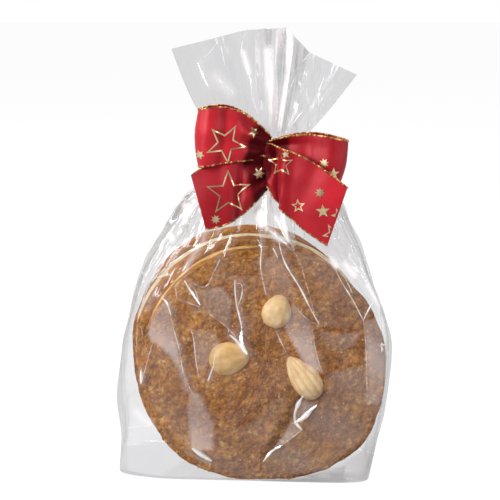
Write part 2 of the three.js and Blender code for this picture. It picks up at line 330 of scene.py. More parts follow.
def biscuit_profile(v):
    """Radius and depth shares of the profile: out along the back, up the rim, and over the face."""
    up_rim = np.clip((v - BACK_SHARE) / (RIM_SHARE - BACK_SHARE), 0, 1)
    over = np.clip((v - RIM_SHARE) / (1 - RIM_SHARE), 0, 1)
    back = BACK_REACH * v / BACK_SHARE
    rim = blend(BACK_REACH, 1, np.sin(up_rim * np.pi / 2))
    face = np.clip(np.cos(over * np.pi / 2), 0, 1) ** 0.95
    radius = np.where(v < BACK_SHARE, back, np.where(v < RIM_SHARE, rim, face))
    rise = (1 - face ** RIM_POWER) ** (1 / RIM_POWER)
    return radius, np.where(v < RIM_SHARE, RIM_HEIGHT * up_rim, blend(RIM_HEIGHT, 1, rise))


def biscuit_place(which, seed):
    def place(u, v):
        angle = 2 * np.pi * u
        radius, depth = biscuit_profile(v)
        wafer = BISCUITS[which]["wafer"]
        reach = radius * biscuit_edge(angle, seed)
        return in_stack(which, angle, reach, wafer + depth * (BISCUIT_THICK - wafer))
    return place


def roughen(piece, name, kind, size, strength, **settings):
    """Displaces a piece along its normals by a procedural texture, in metres."""
    texture = bpy.data.textures.new(name, kind)
    texture.noise_scale = size
    for key, value in settings.items():
        setattr(texture, key, value)
    displace = piece.modifiers.new(name, "DISPLACE")
    displace.texture = texture
    displace.texture_coords = "LOCAL"
    displace.strength = strength
    displace.mid_level = 0.5


def corners_of(piece):
    """A piece's points and normals as arrays, in millimetres."""
    count = len(piece.data.vertices)
    points, normals = np.empty(count * 3), np.empty(count * 3)
    piece.data.vertices.foreach_get("co", points)
    piece.data.vertices.foreach_get("normal", normals)
    return points.reshape(-1, 3) / MM, normals.reshape(-1, 3)


def crumbs(points, spacing, seed):
    """The crumb that each point belongs to, and how far the point is from the gap to the next crumb."""
    draw = np.random.default_rng(seed)
    low, high = points.min(0) - spacing, points.max(0) + spacing
    seeds = draw.uniform(low, high, (int(np.prod(high - low) / spacing ** 3), 3))
    tree = KDTree(len(seeds))
    for index, place in enumerate(seeds):
        tree.insert(place, index)
    tree.balance()
    found = [tree.find_n(point, 2) for point in points]
    which = np.array([pair[0][1] for pair in found])
    gap = np.array([pair[1][2] - pair[0][2] for pair in found])
    return which, np.clip(gap / (CRUMB_FLANK * spacing), 0, 1)


CRUMB_BROWNS = np.array([
    [0.35, 0.124, 0.019], [0.44, 0.170, 0.027], [0.51, 0.222, 0.042], [0.60, 0.34, 0.10],
])
CRUMB_SHARES = [0.26, 0.42, 0.28, 0.04]
COARSE_CRUMB, SMALL_CRUMB, CRUMB_FLANK = 4.4, 1.2, 0.55
COARSE_RISE, SMALL_RISE, SKIN_SUNK = 0.8, 0.3, 0.85
OWN_RISE = (-0.25, 0.35)
RIM_RELIEF = 0.25
SMALL_SHADE, COARSE_SHADE = (0.88, 1.03), (0.84, 1.0)
FRONT_GRID, HIDDEN_GRID = (540, 176), (320, 90)
UNEVEN_SIZE, UNEVEN_DEPTH = 0.012, 0.0016


def crumble(piece, seed):
    """Breaks a biscuit's skin into crumbs of two sizes, gives each small crumb its own brown, and paints
    shade into the gaps between crumbs.
    """
    points, normals = corners_of(piece)
    coarse_rise = crumbs(points, COARSE_CRUMB, seed)[1]
    small, small_rise = crumbs(points, SMALL_CRUMB, seed + 50)
    draw = np.random.default_rng(seed + 90)
    tones = CRUMB_BROWNS[draw.choice(len(CRUMB_BROWNS), small.max() + 1, p=CRUMB_SHARES)]
    heights = draw.uniform(*OWN_RISE, small.max() + 1)
    rise = COARSE_RISE * coarse_rise ** 0.7 + SMALL_RISE * small_rise ** 0.7
    rise = rise + heights[small] * small_rise - SKIN_SUNK
    rise *= blend(RIM_RELIEF, 1.0, smooth_step(0.2, 0.8, -normals[:, 1]))
    moved = points + normals * rise[:, None]
    moved[:, 2] = np.maximum(moved[:, 2], REST_HEIGHT)
    piece.data.vertices.foreach_set("co", (moved * MM).ravel())
    # Painted shade: each crumb darkens towards the gap to the next, for small and coarse crumbs, and this
    # shade goes into the tint with the crumb's brown.
    shade = blend(*SMALL_SHADE, small_rise ** 0.6) * blend(*COARSE_SHADE, coarse_rise ** 0.5)
    colours = np.c_[tones[small] * shade[:, None], np.ones(len(points))]
    tint = piece.data.color_attributes.new("tint", "FLOAT_COLOR", "POINT")
    tint.data.foreach_set("color", colours.ravel())


biscuits = {}
for seed, which in enumerate(BISCUITS):
    columns, rows = FRONT_GRID if which == "front" else HIDDEN_GRID
    piece = laid_grid("lebkuchen_" + which, columns, rows, biscuit_place(which, seed), closed=True)
    roughen(piece, "uneven_face", "CLOUDS", UNEVEN_SIZE, UNEVEN_DEPTH, noise_depth=1)
    apply_modifiers(piece)
    crumble(piece, seed)
    biscuits[which] = piece
print("lebkuchen:", list(biscuits))

# %% [markdown]
# The crumb is a mid brown with painted shade in its hollows, and paler specks and flakes of nut. Each crumb
# has its own brown already, and noise at four scales, from broad patches to pores, varies it; the finest one
# darkens pores as painted shade. Object coordinates keep these the same size everywhere. A lumpy bump and a
# fine one catch the light.

# %% Lebkuchen finish
def lebkuchen_finish():
    material, add = new_material("lebkuchen_crumb")
    where = add("TexCoord").outputs["Object"]

    def noise(scale, detail, roughness=0.5):
        settings = {"Vector": where, "Scale": scale, "Detail": detail, "Roughness": roughness}
        return add("TexNoise", settings).outputs["Fac"]

    grain = noise(900, 4, 0.7)
    nuts = add("TexVoronoi", {"Vector": where, "Scale": 520, "Randomness": 1.0}).outputs["Distance"]
    # The tint holds each crumb's brown together with its painted shade.
    colour = add("VertexColor", layer_name="tint").outputs["Color"]
    for value, low, high in (
        (grain, (0.3, (0.86, 0.83, 0.79)), (0.7, (1.13, 1.15, 1.18))),
        (noise(42, 3), (0.36, (0.80, 0.73, 0.66)), (0.62, (1.14, 1.18, 1.16))),
        (noise(190, 2), (0.34, (0.80, 0.70, 0.60)), (0.64, (1.14, 1.18, 1.2))),
        # The finest noise darkens small pits, as painted shade.
        (noise(1700, 2, 0.6), (0.35, (0.52, 0.45, 0.39)), (0.46, (1, 1, 1))),
    ):
        colour = mix(add, 1.0, colour, ramp(add, value, low, high), "MULTIPLY")
    specks = ramp(add, nuts, (0.12, (0.2, 0.2, 0.2)), (0.26, (0, 0, 0)))
    colour = mix(add, specks, colour, (0.60, 0.33, 0.08, 1))
    flakes = ramp(add, noise(330, 2), (0.62, (0, 0, 0)), (0.74, (0.3, 0.3, 0.3)))
    colour = mix(add, flakes, colour, (0.66, 0.38, 0.10, 1))
    lumpy = add("Bump", {"Height": noise(240, 4, 0.6), "Strength": 0.9, "Distance": 0.0016})
    bump = add("Bump", {"Height": grain, "Strength": 0.6, "Distance": 0.0005,
                        "Normal": lumpy.outputs["Normal"]})
    shader = add("BsdfPrincipled", {
        "Base Color": colour, "Roughness": 0.8, "Normal": bump.outputs["Normal"], "Specular IOR Level": 0.25,
    })
    finish_material(add, shader.outputs[0])
    return material


crumb_material = lebkuchen_finish()
for piece in biscuits.values():
    finish(piece, crumb_material)

# %% [markdown]
# ## Wafers
#
# Each biscuit is baked on a thin pale wafer, about as wide as the biscuit, so a cream line shows between the
# biscuits. A wafer is a thin disc with the same uneven edge. The front one is tucked in at the right.

# %% Wafers
TUCK_ANGLE = math.radians(25)
WAFER_ROWS = [0, 0.45, 0.55, 1]


def wafer_place(which, seed):
    biscuit = BISCUITS[which]

    def place(u, v):
        angle = 2 * np.pi * u
        tucked = biscuit["wafer_tuck"] * smooth_step(0.2, 0.8, np.cos(angle - TUCK_ANGLE))
        radius = np.interp(v, WAFER_ROWS, [0, 1, 1, 0]) * (biscuit["wafer_reach"] - tucked)
        depth = np.interp(v, WAFER_ROWS, [0, 0, 1, 1]) * biscuit["wafer"]
        return in_stack(which, angle, radius * biscuit_edge(angle, seed), depth)
    return place


def wafer(which, seed):
    cream = BISCUITS[which]["cream"]
    return laid_grid("wafer_" + which, 180, 20, wafer_place(which, seed), closed=True,
                     paint={"cream": lambda u, v: np.full_like(u, cream)})


wafers = join("wafers", [wafer(which, seed) for seed, which in enumerate(BISCUITS)])
wafer_material, add = new_material("baking_wafer")
where = add("TexCoord").outputs["Object"]
fleck = add("TexNoise", {"Vector": where, "Scale": 300, "Detail": 3}).outputs["Fac"]
toasted = ramp(add, fleck, (0.35, (0.60, 0.31, 0.06)), (0.6, (0.84, 0.54, 0.16)))
pale_cream = ramp(add, fleck, (0.35, (0.60, 0.46, 0.28)), (0.6, (0.78, 0.66, 0.46)))
cream = add("Attribute", attribute_name="cream").outputs["Fac"]
wafer_shader = add("BsdfPrincipled", {"Base Color": mix(add, cream, toasted, pale_cream), "Roughness": 0.8})
finish_material(add, wafer_shader.outputs[0])
finish(wafers, wafer_material)

# %% [markdown]
# ## Nut bits
#
# The dough is full of ground nuts, and many bits stand out of the face as small golden crumbs. One low lump
# is copied to many points of the biscuit, each turned and sized at random from a fixed seed, and all of them
# become one mesh. A colour attribute gives each bit its own brown.

# %% Nut bits
NUT_BITS = 520
BIT_RADIUS = (0.22, 0.62)
DARK_NUT, PALE_NUT = np.array([0.36, 0.16, 0.05]), np.array([0.66, 0.42, 0.15])


def scattered(name, template, places, turns, sizes, colours):
    """One mesh of many copies of a small template, each placed, turned, sized and coloured."""
    points = np.array([v.co for v in template.data.vertices])
    faces = np.array([p.vertices for p in template.data.polygons])
    count, each = len(places), len(points)
    spread = np.einsum("nij,pj->npi", turns, points) * sizes[:, None, None] + places[:, None, :]
    all_faces = (faces[None] + each * np.arange(count)[:, None, None]).reshape(-1, faces.shape[1])
    mesh = bpy.data.meshes.new(name)
    mesh.from_pydata(spread.reshape(-1, 3).tolist(), [], all_faces.tolist())
    tint = mesh.color_attributes.new("tint", "FLOAT_COLOR", "POINT")
    tint.data.foreach_set("color", np.repeat(np.c_[colours, np.ones(count)], each, axis=0).ravel())
    bpy.data.objects.remove(template)
    piece = bpy.data.objects.new(name, mesh)
    scene.collection.objects.link(piece)
    return piece


def random_turns(count):
    """Random turns as matrices, from random unit quaternions."""
    w, x, y, z = rng.normal(size=(4, count))
    length = np.sqrt(w * w + x * x + y * y + z * z)
    w, x, y, z = w / length, x / length, y / length, z / length
    return np.stack([
        np.stack([1 - 2 * (y * y + z * z), 2 * (x * y - z * w), 2 * (x * z + y * w)], -1),
        np.stack([2 * (x * y + z * w), 1 - 2 * (x * x + z * z), 2 * (y * z - x * w)], -1),
        np.stack([2 * (x * z - y * w), 2 * (y * z + x * w), 1 - 2 * (x * x + y * y)], -1),
    ], 1)


def lump(name, subdivisions, squash):
    """A small faceted lump of unit size to copy from."""
    piece = added(bpy.ops.mesh.primitive_ico_sphere_add, subdivisions=subdivisions, radius=1)
    with edit_mode():
        bpy.ops.transform.resize(value=squash)
    piece.name = name
    return piece


front_mesh = biscuits["front"].data
spots = np.array([v.co for v in front_mesh.vertices if v.normal.y < -0.15])
spots = spots[rng.choice(len(spots), NUT_BITS, replace=False)]
sizes = rng.uniform(*BIT_RADIUS, NUT_BITS) * MM
golden = rng.uniform(0, 1, (NUT_BITS, 1)) ** 1.6
colours = blend(DARK_NUT, PALE_NUT, golden)
nut_bits = scattered("nut_bits", lump("bit", 1, (1, 0.75, 0.6)), spots, random_turns(NUT_BITS), sizes,
                     colours)


def tinted_finish(name, settings):
    """A plain finish that takes its colour from the tint of each copy."""
    material, add = new_material(name)
    tint = add("VertexColor", layer_name="tint").outputs["Color"]
    shader = add("BsdfPrincipled", {"Base Color": tint, **settings})
    finish_material(add, shader.outputs[0])
    return material


finish(nut_bits, tinted_finish("nut_bits", {"Roughness": 0.7}))

# %% [markdown]
# ## Almonds
#
# Three blanched almond halves are pressed into the face before baking. An almond half is an egg shape that
# tapers to a point, flat below and full above. We start from a UV sphere, taper it along its length, and let
# it sink a little into the dough.

# %% Almonds
ALMOND_KEYS = ["x", "z", "long", "wide", "turn", "taper", "ridge", "golden"]
ALMONDS = [dict(zip(ALMOND_KEYS, row)) for row in (
    (8.1, 71.8, 14.4, 12.0, 72, 0.16, 0.02, 0.2),
    (-11.4, 52.0, 17.2, 14.0, 14, 0.16, 0.02, 0.9),
    (19.1, 44.3, 21.6, 11.6, 126, 0.36, 0.07, 0.05),
)]
ALMOND_HEIGHT = 4.2
ALMOND_SUNK = 0.8
ALMOND_GROOVES = 17
ALMOND_GRAIN = (0.004, 0.0006)
FACE_PATCH = 2.5


def face_depth(x, z):
    """The place of the front face's surface behind a point of the picture plane, found among its points."""
    points = np.array([v.co for v in front_mesh.vertices]) / MM
    near = np.hypot(points[:, 0] - x, points[:, 2] - z) < FACE_PATCH
    return np.median(np.sort(points[near, 1])[: max(near.sum() // 2, 1)])


def almond(index, spec):
    piece = added(bpy.ops.mesh.primitive_uv_sphere_add, segments=64, ring_count=40, radius=1)
    piece.name = piece.data.name = f"almond_{index}"
    points = np.array([v.co for v in piece.data.vertices])
    along, across, up = points[:, 2], points[:, 0], -points[:, 1]
    waist = 1 - spec["taper"] * along - 0.25 * spec["taper"] * along ** 2
    grooves = np.sin(ALMOND_GROOVES * np.arctan2(across, np.abs(up) + 0.4) + 0.8 * along + index)
    ridges = 1 + spec["ridge"] * grooves
    a = along * spec["long"] / 2
    b = across * waist * spec["wide"] / 2
    h = np.where(up > 0, up * ridges, up * 0.4) * waist * ALMOND_HEIGHT
    turn = math.radians(spec["turn"])
    x = spec["x"] + a * math.cos(turn) - b * math.sin(turn)
    z = spec["z"] + a * math.sin(turn) + b * math.cos(turn)
    y = face_depth(spec["x"], spec["z"]) + ALMOND_SUNK - h
    piece.data.vertices.foreach_set("co", (np.stack([x, y, z], -1) * MM).ravel())
    shades = {"length": (along + 1) / 2, "golden": np.full(len(points), spec["golden"]),
              "groove": np.clip(12 * spec["ridge"] * -grooves, 0, 1) ** 2}
    for name, values in shades.items():
        paint_points(piece.data, name, values)
    with edit_mode():
        bpy.ops.mesh.normals_make_consistent(inside=False)
    roughen(piece, "almond_grain", "CLOUDS", *ALMOND_GRAIN, noise_depth=2)
    apply_modifiers(piece)
    bpy.ops.object.shade_smooth()
    return piece


def almond_finish():
    material, add = new_material("blanched_almond")
    where = add("TexCoord").outputs["Object"]
    mottle = add("TexNoise", {"Vector": where, "Scale": 260, "Detail": 4}).outputs["Fac"]
    cream = ramp(add, mottle, (0.32, (0.74, 0.49, 0.23)), (0.62, (0.94, 0.70, 0.40)))
    length = add("Attribute", attribute_name="length").outputs["Fac"]
    toasted = ramp(add, length, (0.0, (0.92, 0.88, 0.8)), (0.2, (1, 1, 1)), (0.85, (1, 0.98, 0.95)),
                   (1.0, (0.74, 0.62, 0.46)))
    colour = mix(add, 1.0, cream, toasted, "MULTIPLY")
    for shade, tint in (("golden", (0.78, 0.66, 0.40, 1)), ("groove", (0.78, 0.66, 0.5, 1))):
        share = add("Attribute", attribute_name=shade).outputs["Fac"]
        colour = mix(add, share, colour, tint, "MULTIPLY")
    bump = add("Bump", {"Height": mottle, "Strength": 0.25, "Distance": 0.0004})
    shader = add("BsdfPrincipled", {
        "Base Color": colour, "Roughness": 0.5, "Normal": bump.outputs["Normal"],
        "Subsurface Weight": 0.15, "Subsurface Radius": (0.003, 0.0018, 0.001),
    })
    finish_material(add, shader.outputs[0])
    return material


almond_material = almond_finish()
for index, spec in enumerate(ALMONDS, 1):
    finish(almond(index, spec), almond_material)

# %% [markdown]
# ## The bag of film
#
# The bag is one tube of thin film: a folded bottom, walls that the biscuits push out, shoulders gathered
# into pleats, a tight neck, and a fan above the tie. The outline follows the solid model. Film hardly
# stretches, so it folds along sharp lines: every crease here is a ridge with straight flanks, not a wave.

# %% Outline of the bag
NECK_X, NECK_Y, NECK_RADIUS = 5.0, 1.0, 6.0
NECK_LOW, NECK_HIGH = 128.5, 135.5
OUTLINE_KEYS = ["z", "left", "right", "front", "back", "square", "pleat"]
OUTLINE = np.array([
    [0, -58.6, 47.2, -25.2, 20.5, 8, 0],
    [14, -57.4, 50, -25.2, 21.5, 10, 0],
    [32, -59, 54, -24.7, 23.5, 10, 0],
    [54, -56.7, 56.5, -23.2, 25, 7, 0.01],
    [66, -53.5, 54, -21.8, 26, 5, 0.02],
    [79, -50, 48.3, -20, 26.5, 4, 0.03],
    [103, -36.5, 39, -17.5, 25.5, 2.6, 0.07],
    [116, -28, 33, -12, 17, 2.2, 0.13],
    [124, -16, 23, -9, 12, 2, 0.17],
    [NECK_LOW, NECK_X - NECK_RADIUS, NECK_X + NECK_RADIUS, NECK_Y - NECK_RADIUS, NECK_Y + NECK_RADIUS,
     2, 0.2],
])
BASE_SHEAR = 0.07
SHEAR_FADES_AT = 80
MOUTH = np.array([[-35, 177.5], [-4, 185.2], [12, 186], [21.5, 176], [41, 167]])
LEFT_FLARE, RIGHT_FLARE = 0.35, 0.65
# Pleats from coarse to fine: how many to a turn, and their share of the whole height.
PLEATS = [(11, 0.55), (24, 0.3), (53, 0.15)]


def outline_at(key, z):
    """A smooth curve through the outline's rows that never overshoots them, read at each height."""
    heights, values = OUTLINE[:, 0], OUTLINE[:, OUTLINE_KEYS.index(key)]
    slopes = np.diff(values) / np.diff(heights)
    product = slopes[:-1] * slopes[1:]
    total = np.where(slopes[:-1] + slopes[1:] == 0, 1, slopes[:-1] + slopes[1:])
    tangents = np.r_[slopes[0], np.where(product > 0, 2 * product / total, 0), slopes[-1]]
    i = np.clip(np.searchsorted(heights, z) - 1, 0, len(slopes) - 1)
    span = np.diff(heights)[i]
    t = (z - heights[i]) / span
    ends = blend(values[i], values[i + 1], t * t * (3 - 2 * t))
    return ends + span * (t * (1 - t) ** 2 * tangents[i] + t * t * (t - 1) * tangents[i + 1])


def gathers(turn):
    """How far the pleats stand out, at a share of a turn round the bag."""
    drift = 0.35 * np.sin(2 * np.pi * turn * 3 + 0.8)
    return sum(share * zigzag(count * turn + order * drift)
               for order, (count, share) in enumerate(PLEATS, 1))


def mouth_at(share):
    """The place on the mouth's edge at a share of the way from its left corner to its right one."""
    steps = np.r_[0, np.cumsum(np.hypot(*np.diff(MOUTH, axis=0).T))]
    return np.interp(share, steps / steps[-1], MOUTH[:, 0]), np.interp(share, steps / steps[-1], MOUTH[:, 1])


# %% [markdown]
# Crumples come from cells: every point takes its distance to the nearest of many scattered seeds, which
# makes shallow dishes with sharp ridges between them, as crushed film has. Long creases are placed one by
# one where the real bag has them. Where the walls would cut into the biscuits they are pushed out.

# %% Creases and crumples of the film
PICTURE_SIZE = 500
FOCAL = camera.data.lens / camera.data.sensor_width * PICTURE_SIZE


def picture_place(points):
    """Where points, in millimetres, show in the picture, in pixels across and down."""
    away = points - np.array(camera.location) / MM
    depth = away[:, 1] * math.cos(ELEVATION) - away[:, 2] * math.sin(ELEVATION)
    rise = away[:, 1] * math.sin(ELEVATION) + away[:, 2] * math.cos(ELEVATION)
    return PICTURE_SIZE / 2 + FOCAL * away[:, 0] / depth, PICTURE_SIZE / 2 - FOCAL * rise / depth


def line_distance(x, y, line):
    """The distance of points to the nearest stretch of a line of straight stretches."""
    nearest = np.full(x.shape, np.inf)
    for (ax, ay), (bx, by) in zip(line, line[1:]):
        along = np.array([bx - ax, by - ay])
        share = np.clip(((x - ax) * along[0] + (y - ay) * along[1]) / (along @ along), 0, 1)
        nearest = np.minimum(nearest, np.hypot(x - ax - share * along[0], y - ay - share * along[1]))
    return nearest


# Each crease has how strong it is, its width in pixels, and the pixels that it runs through.
CREASES = [
    (0.9, 1.2, [(176, 246), (169, 248), (160, 265), (152, 279), (147, 290), (141, 306), (137, 318)]),
    (1.0, 1.6, [(154, 278), (164, 276), (172, 274)]),
    (0.6, 1.0, [(172, 274), (176, 288), (177, 299)]),
    (0.6, 1.0, [(184, 270), (178, 278), (177, 287)]),
    (1.0, 2.4, [(184, 280), (190, 290), (200, 305)]),
    (0.8, 1.0, [(194, 287), (197, 295), (200, 303)]),
    (0.5, 0.8, [(190, 281), (196, 285), (203, 289), (208, 288), (211, 279), (214, 271)]),
    (0.8, 1.6, [(214, 271), (218, 266), (220, 259)]),
    (1.0, 1.8, [(235, 280), (235, 291), (236, 303), (240, 318), (243, 332), (240, 341)]),
    (0.9, 1.0, [(236, 284), (240, 280), (243, 283), (243, 292), (241, 299), (238, 306)]),
    (1.0, 4.2, [(229.5, 335), (236, 338.5), (239.5, 345), (246, 354)]),
    (1.0, 4.6, [(242, 331), (240.5, 338), (241, 346), (247, 354.5)]),
    (0.6, 0.9, [(177, 299), (189, 303), (200, 307)]),
    (0.6, 0.9, [(192, 312), (206, 311), (217, 319), (228, 328), (236, 337)]),
    (0.5, 0.8, [(228, 334), (232, 326), (228, 329)]),
    (0.7, 1.1, [(189, 326), (194, 336), (195, 356), (199, 378)]),
    (0.7, 1.2, [(217, 342), (214, 366), (209, 379)]),
    (0.9, 2.4, [(214, 365), (211, 373), (208, 381)]),
    (1.0, 2.4, [(161, 297), (167, 300), (169, 308), (171, 315)]),
    (0.7, 1.2, [(171, 314), (174, 332), (180, 349), (182, 369), (187, 383), (194, 396)]),
    (0.4, 0.8, [(176, 332), (185, 361), (194, 387)]),
    (0.5, 0.9, [(154, 338), (151, 348), (147, 363), (141, 384)]),
    (1.0, 3.0, [(141, 370), (142, 378), (141, 384)]),
    (0.4, 0.8, [(138, 320), (137, 335), (136, 350), (138, 369)]),
    (0.4, 0.8, [(143, 345), (142, 326), (138, 320)]),
    (1.0, 6.5, [(192, 448), (199, 453), (212, 461)]),
    (1.0, 3.5, [(193, 449), (199, 454), (208, 459)]),
    (0.6, 1.2, [(128, 428), (140, 427), (154, 426)]),
    (0.8, 1.2, [(126, 445), (135, 444.5), (145, 444)]),
    (0.5, 1.2, [(131, 435), (132, 441)]),
    (0.5, 1.0, [(238, 224), (240, 230)]),
    (0.5, 1.0, [(232, 225), (232, 232)]),
    (0.8, 1.4, [(258, 213), (262, 222), (267, 229), (275, 235), (282, 240), (288, 246), (292, 251)]),
    (0.7, 1.2, [(282, 217), (284, 229), (288, 237)]),
    (1.0, 4.0, [(268, 229), (276, 236), (287, 244)]),
    (1.0, 4.5, [(279, 221), (283, 232), (291, 244)]),
    (0.9, 1.3, [(260, 228), (262, 248), (260.5, 262), (260, 266), (262, 277), (266, 295)]),
    (1.0, 1.8, [(273, 248), (275, 252), (278, 258)]),
    (1.0, 2.0, [(279, 242), (282, 257), (289, 271), (296, 281), (302, 291), (310, 308), (319, 324)]),
    (0.5, 0.8, [(292, 249), (299, 258), (303, 271), (307, 287), (310, 296), (316, 321)]),
    (0.5, 0.8, [(319, 323), (319, 326), (317, 329)]),
    (0.5, 0.8, [(292, 303), (301, 313), (311, 324), (317, 323)]),
    (0.4, 1.0, [(312, 327), (316, 354), (323, 374)]),
    (0.5, 1.2, [(275, 329), (282, 344), (288, 356)]),
    (0.9, 1.4, [(335, 268), (340, 280), (346, 289), (352, 298), (357, 308), (363.5, 320.5)]),
    (0.7, 1.0, [(341, 271), (349, 285), (353, 295)]),
    (1.0, 1.6, [(374, 301), (370, 307), (367, 312), (363.5, 320.5)]),
    (0.6, 0.8, [(363.5, 320.5), (365, 335), (366, 348), (367, 376), (367, 405)]),
    (1.0, 3.8, [(303, 396), (298.5, 403), (295, 412), (293.3, 419), (295.8, 424), (302, 430)]),
    (1.0, 4.6, [(294, 423), (299.5, 421.5), (306, 415), (311, 409.5), (317, 405)]),
    (0.8, 4.4, [(301, 399), (298, 404), (295.5, 410)]),
    (0.7, 1.0, [(302, 430), (292, 438), (281, 446)]),
    (1.0, 2.8, [(281, 446), (272, 450), (268, 455), (263, 462)]),
    (0.7, 1.4, [(340, 257), (346, 261), (353, 267)]),
    (0.8, 1.0, [(353, 246), (350, 250), (347, 254)]),
    (0.5, 1.2, [(329, 249), (331, 256), (333, 264)]),
    (0.7, 2.0, [(366, 280), (372, 290), (378, 298), (385, 313)]),
    (0.4, 0.9, [(365, 261), (368, 271), (371, 280)]),
    (0.5, 1.0, [(181, 209), (177, 217), (169, 227)]),
    (0.8, 1.3, [(141, 271), (145, 275), (148, 279)]),
    (0.7, 1.2, [(147, 280), (142, 287)]),
    (0.5, 1.4, [(198, 63), (206, 58), (222, 36)]),
    (1.0, 2.0, [(198, 63), (201, 71), (204, 79), (209, 88)]),
    (0.6, 2.0, [(216, 77), (222, 85), (235, 95)]),
    (0.7, 1.4, [(227, 45), (228, 50), (229, 55)]),
    (0.9, 1.8, [(245, 33), (241, 49), (242, 61), (248, 69), (252, 85), (252, 99), (259, 116)]),
    (0.5, 1.0, [(255.5, 31), (255.5, 58), (256, 85), (259, 112)]),
    (0.9, 1.5, [(274, 48), (269, 65), (268, 80), (271, 89), (273, 112)]),
    (0.9, 1.6, [(283, 31), (286, 52), (291, 69), (291, 89), (281, 112), (279, 130)]),
    (0.9, 1.6, [(311, 52), (307, 58), (300, 65), (294, 71)]),
    (0.7, 1.3, [(297, 75), (300, 84), (303, 92), (306, 100)]),
    (0.8, 1.6, [(297, 70), (294, 82), (288, 92)]),
    (0.7, 1.4, [(322.5, 64), (323, 68), (324, 72)]),
    (0.7, 1.2, [(307, 88), (306, 97), (309, 103)]),
    (0.8, 1.4, [(319, 97), (318, 105), (321, 113)]),
    (1.0, 1.6, [(302, 112), (296, 120), (290, 128)]),
    (0.7, 1.4, [(308, 118), (308, 124), (308, 129)]),
]

# Broad stretches of painted highlight, in the same form.
PAINTED_HIGHLIGHT_STRETCHES = [
    (0.75, 4.0, [(186, 206), (188, 212)]), (0.5, 2.5, [(185, 217), (186, 222)]),
    (0.6, 3.0, [(170, 235), (172, 239)]), (0.4, 3.0, [(188, 240), (183, 244)]),
    (0.8, 4.5, [(259, 212), (262, 224)]), (0.7, 3.5, [(268, 229), (280, 239)]),
    (0.6, 3.0, [(276, 218), (284, 228), (289, 240)]),
    (0.28, 3.5, [(205, 232), (202, 244), (193, 256), (185, 270)]),
    (0.6, 3.5, [(332, 260), (336, 266)]), (0.7, 3.5, [(345, 264), (354, 275)]),
    (0.6, 3.0, [(368, 285), (380, 305)]), (0.12, 8.0, [(147, 306), (155, 285)]),
    (0.6, 6.0, [(268, 52), (271, 88), (274, 112)]), (0.95, 5.5, [(286, 33), (290, 52), (292, 70)]),
    (0.7, 5.0, [(290, 76), (284, 104), (280, 126)]), (0.5, 3.0, [(243, 52), (249, 72)]),
    (0.1, 5.0, [(344, 93), (321, 121)]), (0.3, 6.0, [(216, 77), (230, 92)]),
    (0.4, 5.0, [(268, 128), (272, 118)]), (0.35, 4.0, [(136, 412), (150, 424)]),
]

# Panes of painted reflection, and dark ones of painted shade: how strong each is, how white, and its corners
# in pixels.
PAINTED_REFLECTION_AND_SHADE_PANES = [
    (0.07, 0.9, [(141, 345), (160, 350), (176, 366), (188, 400), (190, 450), (175, 440), (150, 400)]),
    (0.14, 0.50, [(191, 456), (212, 427), (228, 428), (246, 427), (259, 417), (268, 402), (286, 394),
                  (290, 420), (262, 460), (262, 479), (250, 479), (214, 471)]),
    (0.27, 0.36, [(262, 460), (282, 446), (302, 430), (318, 404), (325, 392), (327, 374), (365, 364),
                  (367, 405), (383, 402), (365, 437), (327, 469), (262, 479)]),
    (0.27, 1.0, [(285, 325), (292, 303), (311, 324), (316, 354), (322, 372), (310, 371), (300, 356),
                 (288, 335)]),
    (0.14, 0.8, [(318, 330), (340, 334), (362, 331), (355, 345), (340, 353), (322, 345)]),
    (0.27, 1.0, [(364, 320), (384, 318), (388, 350), (386, 372), (381, 405), (367, 405), (366, 347)]),
    (0.31, 0.9, [(161, 304), (169, 301), (176, 334), (180, 360), (186, 377), (191, 393), (186, 394),
                 (177, 366), (171, 357), (160, 347), (151, 341), (147, 333), (154, 313)]),
    (0.30, 0.9, [(191, 391), (199, 394), (210, 417), (214, 424), (213, 450), (191, 451), (187, 409)]),
    (0.21, 0.8, [(197, 290), (222, 287), (231, 300), (232, 318), (228, 328), (212, 316), (203, 308)]),
    (0.14, 0.9, [(292, 250), (325, 258), (330, 268), (318, 275), (302, 272)]),
    (0.13, 0.9, [(192, 328), (215, 330), (222, 345), (212, 352), (205, 375), (196, 372)]),
    (0.08, 0.8, [(170, 250), (205, 240), (186, 268), (175, 275), (152, 279)]),
    (0.10, 0.7, [(300, 262), (340, 270), (372, 306), (364, 330), (319, 326), (303, 292)]),
    (0.32, 0.7, [(302, 400), (297, 412), (290, 424), (282, 437), (264, 460), (282, 446), (302, 430),
                 (297, 420), (316, 406)]),
    (0.50, 0.05, [(297, 396), (302, 398), (296, 411), (288, 424), (280, 437), (265, 458), (261, 455),
                  (274, 434), (283, 415)]),
    (0.14, 0.8, [(262, 262), (275, 252), (283, 262), (292, 282), (300, 300), (290, 303), (268, 296)]),
    (0.58, 0.46, [(300, 480), (332, 469), (357, 454), (370, 438), (379, 415), (375, 445), (367, 479)]),
    (0.56, 0.22, [(262, 481), (300, 479), (322, 471), (346, 464), (346, 483)]),
    (0.45, 0.05, [(141, 322), (147, 326), (148, 332), (143, 341)]),
]


def inside_pane(x, y, corners):
    """True for points inside a pane, by counting the edges to their right."""
    inside = np.zeros(x.shape, bool)
    for (ax, ay), (bx, by) in zip(corners, corners[1:] + corners[:1]):
        if ay == by:
            continue
        crosses = (ay > y) != (by > y)
        inside ^= crosses & (x < ax + (y - ay) * (bx - ax) / (by - ay))
    return inside


RIDGE_NARROW = 0.12


